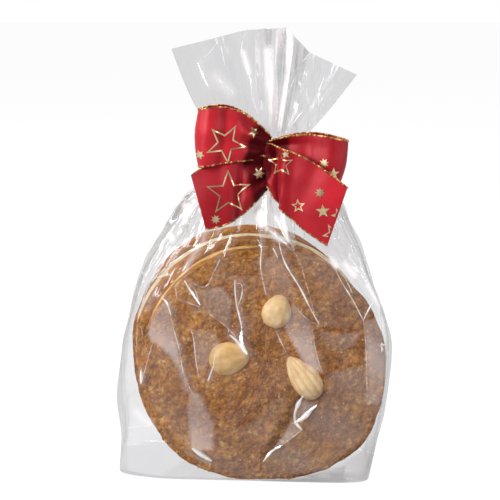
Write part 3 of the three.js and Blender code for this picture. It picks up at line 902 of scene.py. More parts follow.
def crumple(a, b, wrap, tall, spacing, seed):
    """Dishes with sharp ridges between them on a sheet that wraps in a, and how near a ridge is."""
    draw = np.random.default_rng(seed)
    count = int(wrap * tall / spacing ** 2)
    first, second = np.full(a.shape, np.inf), np.full(a.shape, np.inf)
    for sa, sb in zip(draw.uniform(0, wrap, count), draw.uniform(0, tall, count)):
        da = np.abs(a - sa)
        distance = np.hypot(np.minimum(da, wrap - da), b - sb)
        second = np.minimum(second, np.maximum(first, distance))
        first = np.minimum(first, distance)
    return np.minimum(first / spacing, 1.3) ** 1.5, np.exp(-(second - first) / (RIDGE_NARROW * spacing))


STACK_CLEAR = 0.7
RIM_ROUND, TENT_SLOPE, TENT_REACH = 2.0, 0.8, 14.0
STACK_X, STACK_REACH_X, STACK_REACH_Z, STACK_ROUNDNESS = 0.9, 53.8, 51.0, 2.2
STACK_HALF_DEPTH = 1.5 * BISCUIT_THICK
ALMOND_TENT = 0.3
ALMOND_CLEAR = 1.1


def pushed_out(x, y, z, facing):
    """Moves wall points that would lie inside the stack of biscuits, or in an almond, out to clear them.

    facing is -1 where the wall faces the front, 0 at its sides and 1 where it faces the back."""
    upright = y - STACK_Y - z * math.sin(STACK_LEAN)
    beyond_x, beyond_z = np.abs(x - STACK_X) / STACK_REACH_X, np.abs(z - STACK_REACH_Z) / STACK_REACH_Z
    reach = (beyond_x ** STACK_ROUNDNESS + beyond_z ** STACK_ROUNDNESS) ** (1 / STACK_ROUNDNESS)
    radial_gap = (reach - 1) * STACK_REACH_X
    drawn_in = RIM_ROUND * smooth_step(0.86, 1.0, reach) + TENT_SLOPE * np.clip(radial_gap, 0, TENT_REACH)
    clear = STACK_HALF_DEPTH + STACK_CLEAR - drawn_in
    hold = smooth_step(TENT_REACH, TENT_REACH / 2, radial_gap)
    ahead = np.maximum(upright + clear, 0) * hold * smooth_step(0.02, 0.3, -facing)
    behind = np.maximum(clear - upright, 0) * hold * smooth_step(0.02, 0.3, facing)
    beside = np.minimum(radial_gap, 0) * smooth_step(0.6, 0.2, np.abs(facing))
    y = y - ahead + behind
    x = x - np.sign(x - STACK_X) * beside
    for spec in ALMONDS:
        turn = math.radians(spec["turn"])
        along = (x - spec["x"]) * math.cos(turn) + (z - spec["z"]) * math.sin(turn)
        across = (z - spec["z"]) * math.cos(turn) - (x - spec["x"]) * math.sin(turn)
        beyond = np.hypot(along / spec["long"], across / spec["wide"]) * 2 - 0.7
        face = STACK_Y - STACK_HALF_DEPTH + z * math.sin(STACK_LEAN)
        top = face - ALMOND_HEIGHT + ALMOND_SUNK - ALMOND_CLEAR
        tent = top + ALMOND_TENT * spec["wide"] / 2 * np.maximum(beyond, 0)
        y = np.where((y < 0) & (beyond < 3), np.minimum(y, tent), y)
    return x, y


# %% [markdown]
# Now the whole tube: rows run from the middle of the bottom outwards, up the walls, through the neck and out
# to the mouth. The fan has a flat panel at its left and sharp folds in its middle and right.

# %% Film tube
FILM_COLUMNS = 400
BASE_ROWS, WALL_ROWS, NECK_ROWS, FAN_ROWS = 8, 162, 6, 64
FILM_ROWS = BASE_ROWS + WALL_ROWS + NECK_ROWS + FAN_ROWS
FILM_GIRTH, FAN_GIRTH = 330.0, 190.0
BASE_MIDDLE_X, BASE_LIFT = -5.0, 0.3
CORNER_LIFT = 0.9
FAN_GAP = 1.6
CREASE_LIFT, CREASE_FLANK, CREASES_FROM = 0.3, 2.0, 4
FAN_ROW_POWER = 1.6
# Crumples of the walls: how far their height is squashed, the size of the dishes, and a seed.
BROAD_WALL, FINE_WALL = (0.6, 17, 3), (0.8, 8, 4)
# Crumples of the fan: how tall its sheet is, the size of the dishes, and a seed.
BROAD_FAN, FINE_FAN = (30, 13, 6), (34, 6, 7)
BROAD_PUFF, FINE_PUFF, DISH_MIDDLE = 1.9, 0.45, 0.45
FAN_BROAD_PUFF, FAN_FINE_PUFF = 1.7, 0.5
# Heights, or shares of the fan's width, between which something sets in.
PLEATS_SET_IN, LOOSENS, FOLDS_SET_IN, FAN_LIVENS = (100, 126), (60, 100), (70, 110), (0.3, 0.55)
FULL_WIDTH, FOLDED_EDGE, FOLDS_SUNK = 75, 10, 0.8
SEAM_TURN = 0.25
# Each fold of the shoulders has its turn, its lowest height, its rise, its drift and its half width.
FOLD_COUNT = 38
FOLD_TOP, FOLD_DROP, FOLD_GROWTH = 124, 60, 25
fold_draw = np.random.default_rng(8)
FOLDS = np.stack([
    (np.arange(FOLD_COUNT) + fold_draw.uniform(-0.45, 0.45, FOLD_COUNT)) / FOLD_COUNT,
    fold_draw.uniform(66, 114, FOLD_COUNT),
    fold_draw.uniform(1.0, 3.2, FOLD_COUNT),
    fold_draw.uniform(-0.025, 0.025, FOLD_COUNT),
    fold_draw.uniform(0.009, 0.02, FOLD_COUNT),
], 1)
# Where each fold of the fan lies, from left to right, how far it stands out, and its half width.
FAN_FOLDS = [
    (0.17, 1.3, 0.09), (0.31, -1.6, 0.08), (0.41, 2.6, 0.05), (0.47, -2.2, 0.04), (0.53, 3.8, 0.045),
    (0.585, -3.6, 0.04), (0.64, 4.4, 0.045), (0.70, -3.0, 0.05), (0.77, 1.6, 0.06), (0.86, -0.8, 0.08),
    (0.93, 0.5, 0.06),
]


def shoulder_folds(turn, z):
    """Sharp folds that run down from the neck, each to its own height, and how near each point is to one."""
    height, ridge = np.zeros_like(turn), np.zeros_like(turn)
    for at, low, rise, drift, width in FOLDS:
        off = np.abs((turn - at - drift * (FOLD_TOP - z) / FOLD_DROP + 0.5) % 1 - 0.5)
        grown = smooth_step(low, low + FOLD_GROWTH, z)
        height += rise * grown * np.maximum(0, 1 - off / width)
        ridge = np.maximum(ridge, grown * np.exp(-off / (RIDGE_NARROW * width)))
    return height, ridge


def wall_points(turn, z):
    """The walls, from the bottom's edge to the neck, and how near each point is to a fold."""
    left, right, front, back = (outline_at(key, z) for key in ("left", "right", "front", "back"))
    square, pleat = outline_at("square", z), outline_at("pleat", z)
    c, s = np.cos(2 * np.pi * turn), np.sin(2 * np.pi * turn)
    boxed = (np.abs(c) ** square + np.abs(s) ** square) ** (-1 / square)
    reach = boxed * (1 + pleat * gathers(turn) * smooth_step(*PLEATS_SET_IN, z))
    x = (left + right) / 2 + (right - left) / 2 * c * reach
    y = (front + back) / 2 + (back - front) / 2 * s * reach
    y = y - BASE_SHEAR * np.clip(1 - z / SHEAR_FADES_AT, 0, 1) * x
    out_x = np.sign(c) * np.abs(c * boxed) ** (square - 1) / (right - left)
    out_y = np.sign(s) * np.abs(s * boxed) ** (square - 1) / (back - front)
    length = np.hypot(out_x, out_y) + 1e-9
    folds, fold_ridge = shoulder_folds(turn, z)
    slender = np.clip((right - left) / FULL_WIDTH, 0.1, 1)
    loose = (0.5 + 0.5 * smooth_step(*LOOSENS, z)) * smooth_step(0, FOLDED_EDGE, z) * slender
    (broad, broad_ridge), (fine, fine_ridge) = (
        crumple(turn * FILM_GIRTH, z * squash, FILM_GIRTH, NECK_LOW * squash, spacing, seed)
        for squash, spacing, seed in (BROAD_WALL, FINE_WALL))
    puff = loose * (BROAD_PUFF * (broad - DISH_MIDDLE) + FINE_PUFF * (fine - DISH_MIDDLE))
    puff = puff + slender * (folds - FOLDS_SUNK * smooth_step(*FOLDS_SET_IN, z))
    x, y = x + puff * out_x / length, y + puff * out_y / length
    x, y = pushed_out(x, y, z, out_y / length)
    ridge = np.maximum(0.6 * fold_ridge, loose * np.maximum(0.5 * broad_ridge, 0.25 * fine_ridge))
    return x, y, ridge


def fan_points(turn, t):
    """The fan above the tie, from the neck at 0 to the mouth at 1, and how near each point is to a fold."""
    across = np.abs(1 - 2 * turn)
    side = np.sign(np.sin(2 * np.pi * turn))
    mouth_x, mouth_z = mouth_at(across)
    flare = t ** blend(LEFT_FLARE, RIGHT_FLARE, across)
    ends = np.clip(np.minimum(across, 1 - across) * 8, 0, 1)
    depth, ridge = np.zeros_like(turn), np.zeros_like(turn)
    for at, rise, width in FAN_FOLDS:
        off = np.abs(across - at - 0.012 * side)
        depth -= rise * np.maximum(0, 1 - off / width)
        ridge = np.maximum(ridge, np.exp(-off / (0.1 * width)) * min(abs(rise) / 4, 1))
    (broad, broad_ridge), (fine, fine_ridge) = (
        crumple(turn * FAN_GIRTH, t * tall, FAN_GIRTH, tall, spacing, seed)
        for tall, spacing, seed in (BROAD_FAN, FINE_FAN))
    lively = 0.45 + 0.55 * smooth_step(*FAN_LIVENS, across)
    y = NECK_Y + t * ends * depth + side * np.minimum(1, 3 * t) * FAN_GAP * ends
    dishes = FAN_BROAD_PUFF * (broad - DISH_MIDDLE) + FAN_FINE_PUFF * (fine - DISH_MIDDLE)
    y = y + side * np.minimum(1, 2 * t) * ends * lively * dishes
    hold = (1 - flare) ** 2
    neck_x, neck_y, _ = wall_points(turn, np.full_like(turn, NECK_LOW))
    x = blend(NECK_X, mouth_x, flare) + (neck_x - NECK_X) * hold
    y = y + (neck_y - NECK_Y) * hold
    ridge = np.maximum(ridge * 0.5, lively * np.maximum(0.5 * broad_ridge, 0.25 * fine_ridge))
    return x, y, blend(NECK_HIGH, mouth_z, t), ridge


def film_and_ridges(u, v):
    """Places the film's points, and says how near each is to a fold."""
    row = v * FILM_ROWS
    turn = (u + SEAM_TURN) % 1.0
    z = NECK_LOW * np.clip((row - BASE_ROWS) / WALL_ROWS, 0, 1)
    x, y, ridge = wall_points(turn, z)
    share = np.clip(row / BASE_ROWS, 0, 1)
    x, y = blend(BASE_MIDDLE_X, x, share), blend(0.0, y, share)
    z = z + (NECK_HIGH - NECK_LOW) * np.clip((row - BASE_ROWS - WALL_ROWS) / NECK_ROWS, 0, 1)
    lift = BASE_LIFT + CORNER_LIFT * smooth_step(-35, -58, x) * smooth_step(6, 0, z)
    points = np.stack([x, y, z + lift], -1)
    front = points[:, 1] < NECK_Y
    across, down = picture_place(points)
    for strength, width, line in CREASES:
        near = np.exp(-line_distance(across, down, line) / (CREASE_FLANK + width))
        points[:, 1] -= np.where(front & (z > CREASES_FROM), CREASE_LIFT * strength * near, 0)
    t = np.clip((row - BASE_ROWS - WALL_ROWS - NECK_ROWS) / FAN_ROWS, 0, 1) ** FAN_ROW_POWER
    fan = t > 0
    fan_x, fan_y, fan_z, fan_ridge = fan_points(turn, t)
    points = np.where(fan[:, None], np.stack([fan_x, fan_y, fan_z], -1), points)
    return points, np.where(fan, fan_ridge, ridge)


def film_place(u, v):
    return film_and_ridges(u, v)[0]


PANE_EDGE, PANE_REACH, PANE_LEAD = 2.6, 4, 0.02
# Painted highlight along the folds, in front and behind, and beside each crease.
FRONT_FOLD_HIGHLIGHT, BACK_FOLD_HIGHLIGHT, BESIDE_CREASE_HIGHLIGHT = 0.15, 0.45, 0.10


def painted_film_light(u, v):
    """How strong and how white the painted light and shade is: panes and stretches in front, a little along
    each fold.
    """
    points, ridge = film_and_ridges(u, v)
    across, down = picture_place(points)
    front = (u + SEAM_TURN) % 1.0 > 0.5
    wall_front = np.interp(points[:, 2], OUTLINE[:, 0], OUTLINE[:, OUTLINE_KEYS.index("front")])
    faces_front = front * smooth_step(0.5, 0.8, points[:, 1] / wall_front)
    pale, white = np.where(front, FRONT_FOLD_HIGHLIGHT, BACK_FOLD_HIGHLIGHT) * ridge, np.ones_like(u)
    for index, (strength, whiteness, corners) in enumerate(PAINTED_REFLECTION_AND_SHADE_PANES):
        edge = line_distance(across, down, corners + corners[:1])
        inside = inside_pane(across, down, corners)
        drift = 0.78 + 0.2 * np.sin(0.07 * across - 0.1 * down + index)
        soft_edge = smooth_step(-PANE_EDGE, PANE_EDGE, np.where(inside, edge, -edge))
        pane = strength * drift * faces_front * soft_edge
        leads = (inside | (edge < PANE_REACH)) & front & (pane + PANE_LEAD >= pale)
        white = np.where(leads, whiteness, white)
        pale = np.maximum(pale, pane)
    for strength, width, line in CREASES:
        away = line_distance(across - 1.5, down + 1.0, line)
        beside = BESIDE_CREASE_HIGHLIGHT * strength * np.exp(-(away / (2.5 + width)) ** 2)
        pale = np.where(front, np.maximum(pale, beside), pale)
    for strength, width, line in PAINTED_HIGHLIGHT_STRETCHES:
        stretch = strength * np.exp(-(line_distance(across, down, line) / width) ** 2)
        white = np.where(front & (stretch > pale), 1, white)
        pale = np.where(front, np.maximum(pale, stretch), pale)
    return pale, white


film = laid_grid("film_bag", FILM_COLUMNS, FILM_ROWS, film_place, closed=True, paint={
    "pale": lambda u, v: painted_film_light(u, v)[0], "white": lambda u, v: painted_film_light(u, v)[1],
})

# %% [markdown]
# The film itself is clear and hard: a little grey where light passes through, more so where it is gathered,
# and a mirror where it glances off. A Fresnel mix of a transparent and a glossy shader gives both. Crinkles,
# and pleats near the neck, are bumps on the gloss. Over it lies a painted haze of reflections, highlights
# and shade, from dark to white.

# %% Film finish
def film_finish():
    material, add = new_material("clear_film")
    where = add("TexCoord").outputs["Object"]
    crinkle = add("TexNoise", {"Vector": where, "Scale": 110, "Detail": 3, "Distortion": 0.8})
    stretched = add("Mapping", {"Vector": add("TexCoord").outputs["UV"], "Scale": (95, 9, 1)})
    pleats = add("TexNoise", {"Vector": stretched.outputs["Vector"], "Scale": 1, "Detail": 2})
    height = add("SeparateXYZ", {"Vector": where}).outputs["Z"]
    gathered = add("MapRange", {"Value": height, "From Min": 0.06, "From Max": 0.1}).outputs["Result"]
    pleated = add("Math", {0: pleats.outputs["Fac"], 1: gathered}, operation="MULTIPLY")
    crinkled = add("Bump", {"Height": crinkle.outputs["Fac"], "Strength": 0.14, "Distance": 0.001})
    bump = add("Bump", {"Height": pleated.outputs[0], "Strength": 0.5, "Distance": 0.001,
                        "Normal": crinkled.outputs["Normal"]})
    grey = mix(add, gathered, (0.885, 0.887, 0.894, 1), (0.845, 0.846, 0.852, 1))
    clear = add("BsdfTransparent", {"Color": grey})
    gloss = add("BsdfGlossy", {"Color": (0.95, 0.95, 0.95, 1), "Roughness": 0.09,
                               "Normal": bump.outputs["Normal"]})
    mirror = add("Fresnel", {"IOR": 1.45, "Normal": bump.outputs["Normal"]})
    capped = add("Math", {0: mirror.outputs["Fac"], 1: 0.45}, operation="MINIMUM")
    body = add("MixShader", {0: capped.outputs[0], 1: clear.outputs[0], 2: gloss.outputs[0]})
    # The pale attribute sets how much painted reflection, highlight or shade covers the film, and white sets
    # it from dark to white.
    white = add("Attribute", attribute_name="white").outputs["Fac"]
    painted_light = add("BsdfDiffuse", {"Color": mix(add, white, (0, 0, 0, 1), (0.95, 0.90, 0.91, 1))})
    pale = add("Attribute", attribute_name="pale")
    film_shader = add("MixShader", {0: pale.outputs["Fac"], 1: body.outputs[0], 2: painted_light.outputs[0]})
    finish_material(add, film_shader.outputs[0])
    return material


film_material = film_finish()
finish(film, film_material)
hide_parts("bag")

# %% [markdown]
# Where the film is pinched hard, the crease stands up as a thin ridge, painted white as a highlight over its
# gloss. Each ridge is a slender prism that tapers at both ends. We look along the line of sight through each
# of its pixels, and set the ridge down where that line meets the film, so that it sits on the film from
# every side. More ridges, from a fixed seed, run down the sides and the back.

# %% Crease ridges
RIDGE_HEIGHT = 0.3
EDGE_CLEAR, TOP_CLEAR = 0.04, 0.06
TOWARD_EYE = 1.5
# How much painted highlight each edge and the top of a ridge get.
RIDGE_PAINTED_SHINE = [0.25, 1.0, 0.5]
LINE_STEP = 1.6
PIXEL = 0.42
SMOOTHING_PASSES = 16
film_tree = BVHTree.FromObject(film, bpy.context.evaluated_depsgraph_get())


def fine_line(line, step):
    """A line's points at an even spacing, rounded at its corners."""
    path = np.array(line, float)
    for _ in range(2):
        cuts = [blend(path[:-1], path[1:], share) for share in (0.25, 0.75)]
        path = np.r_[path[:1], np.stack(cuts, 1).reshape(-1, 2), path[-1:]]
    along = np.r_[0, np.cumsum(np.hypot(*np.diff(path, axis=0).T))]
    at = np.linspace(0, along[-1], max(int(along[-1] / step), 4))
    return np.stack([np.interp(at, along, path[:, k]) for k in range(2)], -1)


def seen_on_film(across, down):
    """The place and normal of the film at a pixel, or None beside it."""
    side, up = (across - PICTURE_SIZE / 2) / FOCAL, (PICTURE_SIZE / 2 - down) / FOCAL
    ray = Vector((side, math.cos(ELEVATION) + up * math.sin(ELEVATION),
                  up * math.cos(ELEVATION) - math.sin(ELEVATION))).normalized()
    place, normal, _, _ = film_tree.ray_cast(camera.location, ray)
    if place is None:
        return None
    facing = (normal if normal.dot(ray) < 0 else -normal) - TOWARD_EYE * ray
    return np.array(place) / MM, np.array(facing.normalized())


def evened(values):
    """Values along a line with their jumps smoothed out and their ends kept."""
    values = np.array(values)
    for _ in range(SMOOTHING_PASSES):
        values[1:-1] = (values[:-2] + 2 * values[1:-1] + values[2:]) / 4
    return values


def ridge_prism(places, normals, half_width):
    """Corners and faces of a slender prism along places, tapered at both ends."""
    along = np.gradient(places, axis=0)
    aside = np.cross(normals, along)
    aside /= np.linalg.norm(aside, axis=1, keepdims=True) + 1e-9
    taper = np.sin(np.pi * np.linspace(0.04, 0.96, len(places)))[:, None] ** 0.6
    left = places + aside * half_width * taper + normals * EDGE_CLEAR
    right = places - aside * half_width * taper + normals * EDGE_CLEAR
    top = places + normals * (TOP_CLEAR + RIDGE_HEIGHT * taper)
    corners = np.stack([left, top, right], 1).reshape(-1, 3)
    faces = [(0, 2, 1)]
    for i in range(len(places) - 1):
        for a in range(3):
            b = (a + 1) % 3
            faces.append((3 * i + a, 3 * i + b, 3 * i + 3 + b, 3 * i + 3 + a))
    last = 3 * len(places) - 3
    faces.append((last, last + 1, last + 2))
    return corners, faces


ridge_corners, ridge_faces, ridge_painted_shine = [], [], []


def add_ridge(places, normals, half_width, strength):
    """Adds one ridge, whose width and painted white highlight come and go along it."""
    knots = rng.uniform(0.12, 1.0, max(len(places) // 4, 2) + 1)
    painted_shine = np.interp(np.linspace(0, 1, len(places)), np.linspace(0, 1, len(knots)), knots)
    widths = half_width * blend(0.6, 1.25, painted_shine)[:, None]
    corners, faces = ridge_prism(evened(places), evened(normals), widths)
    start = len(ridge_corners)
    ridge_corners.extend(corners * MM)
    ridge_faces.extend(tuple(start + i for i in face) for face in faces)
    strengths = blend(painted_shine, 1, max(strength - 0.6, 0)) * strength
    ridge_painted_shine.extend(np.outer(strengths, RIDGE_PAINTED_SHINE).ravel())


def wall_place(turns, heights):
    """The film's wall at shares of a turn round the bag and at heights."""
    x, y, _ = wall_points(turns % 1.0, heights)
    return np.stack([x, y, heights + BASE_LIFT], -1)


for strength, width, line in CREASES:
    hits = [seen_on_film(*pixel) for pixel in fine_line(line, LINE_STEP)]
    hits = [hit for hit in hits if hit is not None]
    if len(hits) > 3:
        add_ridge([hit[0] for hit in hits], [hit[1] for hit in hits], 0.5 * PIXEL * width, strength)

BACK_RIDGES, RIDGE_STEPS, LOWEST_RIDGE = 46, 14, 5
for _ in range(BACK_RIDGES):
    top, drop = rng.uniform(30, 122), rng.uniform(10, 34)
    heights = np.linspace(top, max(top - drop, LOWEST_RIDGE), RIDGE_STEPS)
    turns = rng.uniform(-0.03, 0.53) + rng.uniform(-0.0009, 0.0009) * (top - heights)
    turns = turns + 0.002 * np.cumsum(rng.normal(size=RIDGE_STEPS))
    places = wall_place(turns, heights)
    around = wall_place(turns + 0.004, heights) - wall_place(turns - 0.004, heights)
    upward = wall_place(turns, heights + 0.5) - wall_place(turns, heights - 0.5)
    outward = np.cross(around, upward)
    outward /= np.linalg.norm(outward, axis=1, keepdims=True)
    add_ridge(places, outward, 0.5 * PIXEL * rng.uniform(0.8, 2.0), rng.uniform(0.4, 0.9))

ridge_mesh = bpy.data.meshes.new("film_creases")
ridge_mesh.from_pydata(ridge_corners, [], ridge_faces)
paint_points(ridge_mesh, "painted_shine", ridge_painted_shine)
film_creases = bpy.data.objects.new("film_creases", ridge_mesh)
scene.collection.objects.link(film_creases)

# The ridges are painted highlights: where the shine is high they turn white, part painted diffuse white and
# part real gloss.
crease_material, add = new_material("creased_film")
crease_painted_white = add("BsdfDiffuse", {"Color": (1, 1, 1, 1)})
crease_gloss = add("BsdfGlossy", {"Color": (1, 1, 1, 1), "Roughness": 0.2})
crease_clear = add("BsdfTransparent", {"Color": (1, 1, 1, 1)})
crease_highlight = add("MixShader", {0: 0.35, 1: crease_painted_white.outputs[0], 2: crease_gloss.outputs[0]})
painted_shine = add("Attribute", attribute_name="painted_shine").outputs["Fac"]
crease_shader = add("MixShader", {0: painted_shine, 1: crease_clear.outputs[0], 2: crease_highlight.outputs[0]})
finish_material(add, crease_shader.outputs[0])
finish(film_creases, crease_material)

# %% [markdown]
# ## The ribbon
#
# One length of red taffeta, 25 mm wide, is tied round the neck: two loops, two tails and a knot. Each length
# is ruled between an upper and a lower edge, bellied across its width, folded, and pinched into small pleats
# at the knot.

# %% Ribbon lengths
BAND_INNER = NECK_RADIUS * 1.2 + 0.5
KNOT_Y, KNOT_Z = NECK_Y - BAND_INNER - 4.0, 132.5
LOOPS = {
    "left": {"upper": (143, -23.2, 154.8, 5.6), "lower": (133.5, -24.0, 131.0, 0.8)},
    "right": {"upper": (141, 36.5, 142.0, 3.0), "lower": (129, 31.3, 118.5, -2.0)},
}
TAILS = {
    "left": {
        "upper": [(5.6, -11.0, 134.5), (-12, -14.0, 140), (-26.8, -17, 128.0)],
        "lower": [(5.2, -12, 122.4), (-8.0, -20, 106.2), (-20.8, -22, 106.6)],
    },
    "right": {
        "upper": [(3.6, -14, 140.7), (18.9, -22.5, 138.6), (36.1, -24.5, 124.4)],
        "lower": [(3.6, -14, 123.1), (8.2, -21.8, 112.2), (28.1, -25.5, 100.4)],
    },
}
# Folds across each length: where along it, how much they slant, how far they stand out, and their width.
RIBBON_FOLDS = {
    "left_loop": [(0.207, 0.03, -0.9, 0.030), (0.115, -0.03, 1.1, 0.035), (0.32, 0.04, 0.5, 0.06)],
    "left_tail": [(0.40, 0.22, -1.5, 0.07), (0.56, 0.12, 0.8, 0.10)],
    "right_loop": [(0.15, 0.03, -1.2, 0.04), (0.29, 0.04, 0.7, 0.05)],
    "right_tail": [(0.19, 0.24, -2.0, 0.05), (0.34, 0.16, 1.6, 0.07), (0.62, -0.06, -0.6, 0.10)],
}
# How far from the knot each length stays dark with painted shade, as a share of its length, how much less
# far at its lower edge than at its upper one, and how much painted shade the rest has, near the knot and at
# its far end.
PAINTED_KNOT_SHADE = {
    "left_loop": (0.15, -0.12, 0.10, 0.0), "left_tail": (0.32, 0.12, 0.38, 0.44),
    "right_loop": (0.13, 0.0, 0.40, 0.08), "right_tail": (0.12, 0.06, 0.38, 0.05),
}
LOOP_ROOT_APART, LOOP_LEAN, LOOP_HALF_DEPTH, LOOP_ROUNDNESS = -0.8, 4.0, 4.5, 0.8
RIBBON_BELLY, TAIL_BELLIED = 1.6, 0.85
PLEAT_RISE, PLEAT_FADE, PLEAT_COUNT, WAVE_RISE = 1.5, 4.0, 2.5, 0.2
KNOT_REACH, KNOT_HALF_HEIGHT = 2.4, 6.5
# How much painted shade the knot wrap, the neck band, the pinch at the knot and the valleys of folds get.
KNOT_PAINTED_SHADE, BAND_PAINTED_SHADE, PINCH_PAINTED_SHADE, VALLEY_PAINTED_SHADE = 0.9, 0.2, 0.92, 0.36


def loop_edge(shape, u):
    """A loop's edge, from the knot at 0, out to the tip at 0.5, and back to the knot at 1."""
    root_z, tip_x, tip_z, arch = shape
    out = np.clip(np.sin(np.pi * u), 0, 1) ** LOOP_ROUNDNESS
    root_x = NECK_X + np.sign(tip_x) * LOOP_ROOT_APART
    y = KNOT_Y - LOOP_LEAN * out - LOOP_HALF_DEPTH * np.sin(2 * np.pi * u)
    z = blend(root_z, tip_z, out) + arch * np.sin(np.pi * out)
    return np.stack([blend(root_x, tip_x, out), y, z], -1)


def tail_edge(points, u):
    """A tail's edge, from the knot at 0 to the cut end at 1."""
    start, pull, end = np.array(points, float)
    u = u[..., None]
    return (1 - u) ** 2 * start + 2 * u * (1 - u) * pull + u * u * end


def ruled(edge, shape):
    """A place function between the two edges of a shape, v from the upper edge to the lower one."""
    return lambda u, v: blend(edge(shape["upper"], u), edge(shape["lower"], u), v[..., None])


def normals_of(place, u, v):
    """Unit normals of a laid surface, by small steps along and across it."""
    step = 1e-3
    along = place(np.clip(u + step, 0, 1), v) - place(np.clip(u - step, 0, 1), v)
    across = place(u, np.clip(v + step, 0, 1)) - place(u, np.clip(v - step, 0, 1))
    normal = np.cross(along, across)
    return normal / (np.linalg.norm(normal, axis=-1, keepdims=True) + 1e-12)


def knot_distance(name, u):
    """How far from the knot a point is, as a share of its tail or of half its loop."""
    return np.minimum(u, 1 - u) * 2 if "loop" in name else u


def fold_share(u, v, at, slant, width):
    """How much of a fold's height a point of the ribbon has."""
    return np.exp(-((u - at - slant * (v - 0.5)) / width) ** 2)


def ribbon_length(name, flat_place, outward):
    """Adds the belly, the folds and the pleats near the knot to a ruled length of ribbon."""
    bellied = 1 if "loop" in name else TAIL_BELLIED

    def place(u, v):
        from_knot = knot_distance(name, u)
        belly = RIBBON_BELLY * np.sin(np.pi * v) * np.sin(np.pi * (u * bellied))
        pleats = PLEAT_RISE * np.exp(-PLEAT_FADE * from_knot) * np.cos(2 * np.pi * PLEAT_COUNT * v)
        pleats = pleats * smooth_step(0, 0.1, from_knot)
        waves = WAVE_RISE * np.sin(2 * np.pi * (1.3 * from_knot + 0.5 * v))
        waves = waves * smooth_step(0.1, 0.5, from_knot)
        folds = sum(rise * fold_share(u, v, at, slant, width)
                    for at, slant, rise, width in RIBBON_FOLDS[name])
        lift = outward * (belly + pleats + waves + folds)
        return flat_place(u, v) + normals_of(flat_place, u, v) * lift[..., None]
    return place


lengths = {}
for side, outward in (("left", 1), ("right", -1)):
    for kind, edge, shapes in (("_loop", loop_edge, LOOPS), ("_tail", tail_edge, TAILS)):
        lengths[side + kind] = ribbon_length(side + kind, ruled(edge, shapes[side]), outward)


def painted_ribbon_shade(name):
    """How much painted shade a length of ribbon has: most at the knot, some in its valleys, and some over
    the rest.
    """
    def paint(u, v):
        from_knot = knot_distance(name, u)
        reach, slant, near, far = PAINTED_KNOT_SHADE[name]
        rest = blend(near, far, smooth_step(0.5, 0.9, from_knot))
        at_knot = smooth_step(1.12 * reach, 0.82 * reach, from_knot + slant * (v - 0.5))
        pinch = blend(rest, PINCH_PAINTED_SHADE, at_knot)
        for at, slant, rise, width in RIBBON_FOLDS[name]:
            if rise < 0:
                valley = fold_share(u, v, at, slant, width)
                pinch = np.maximum(pinch, -VALLEY_PAINTED_SHADE * rise * valley)
        return np.clip(pinch, 0, 1)
    return {"pinch": paint}


def even_painted_shade(share):
    """The same painted shade all over."""
    return {"pinch": lambda u, v: np.full_like(u, share)}


def knot_place(u, v):
    """The short wrap over the knot: a pinched band, bulging forward."""
    angle = np.pi * (u - 0.5) * 1.25
    pinch = 1 + 0.16 * np.cos(2 * np.pi * 3 * u + 1) * np.sin(np.pi * v)
    reach = KNOT_REACH * pinch * (1 - 0.22 * (2 * v - 1) ** 2)
    return np.stack([NECK_X + reach * np.sin(angle), KNOT_Y + 0.4 - reach * np.cos(angle),
                     KNOT_Z + blend(KNOT_HALF_HEIGHT, -KNOT_HALF_HEIGHT, v)], -1)


def band_place(u, v):
    """The band round the neck."""
    angle = 2 * np.pi * u
    reach = BAND_INNER + 0.5 + 0.35 * np.cos(2 * np.pi * 2 * v) + 0.2 * np.sin(7 * angle)
    return np.stack([NECK_X + reach * np.sin(angle), NECK_Y + reach * np.cos(angle),
                     blend(NECK_HIGH - 0.5, NECK_LOW + 0.5, v)], -1)


RIBBON_THICK = 0.25
ribbon_pieces = [laid_grid(name, 160 if "loop" in name else 90, 30, place, paint=painted_ribbon_shade(name))
                 for name, place in lengths.items()]
ribbon_pieces.append(laid_grid("knot", 40, 24, knot_place, paint=even_painted_shade(KNOT_PAINTED_SHADE)))
ribbon_pieces.append(laid_grid("neck_band", 80, 10, band_place, paint=even_painted_shade(BAND_PAINTED_SHADE)))
ribbon = join("ribbon", ribbon_pieces)
thickness = ribbon.modifiers.new("thickness", "SOLIDIFY")
thickness.thickness = RIBBON_THICK * MM
thickness.offset = 0
apply_modifiers(ribbon)

# %% [markdown]
# Taffeta has a fine plain weave, a soft sheen at a glance and a slightly cooler red where light skims it.
# The weave follows the ribbon, so it reads the UV map. Two sine waves crossed make the threads.

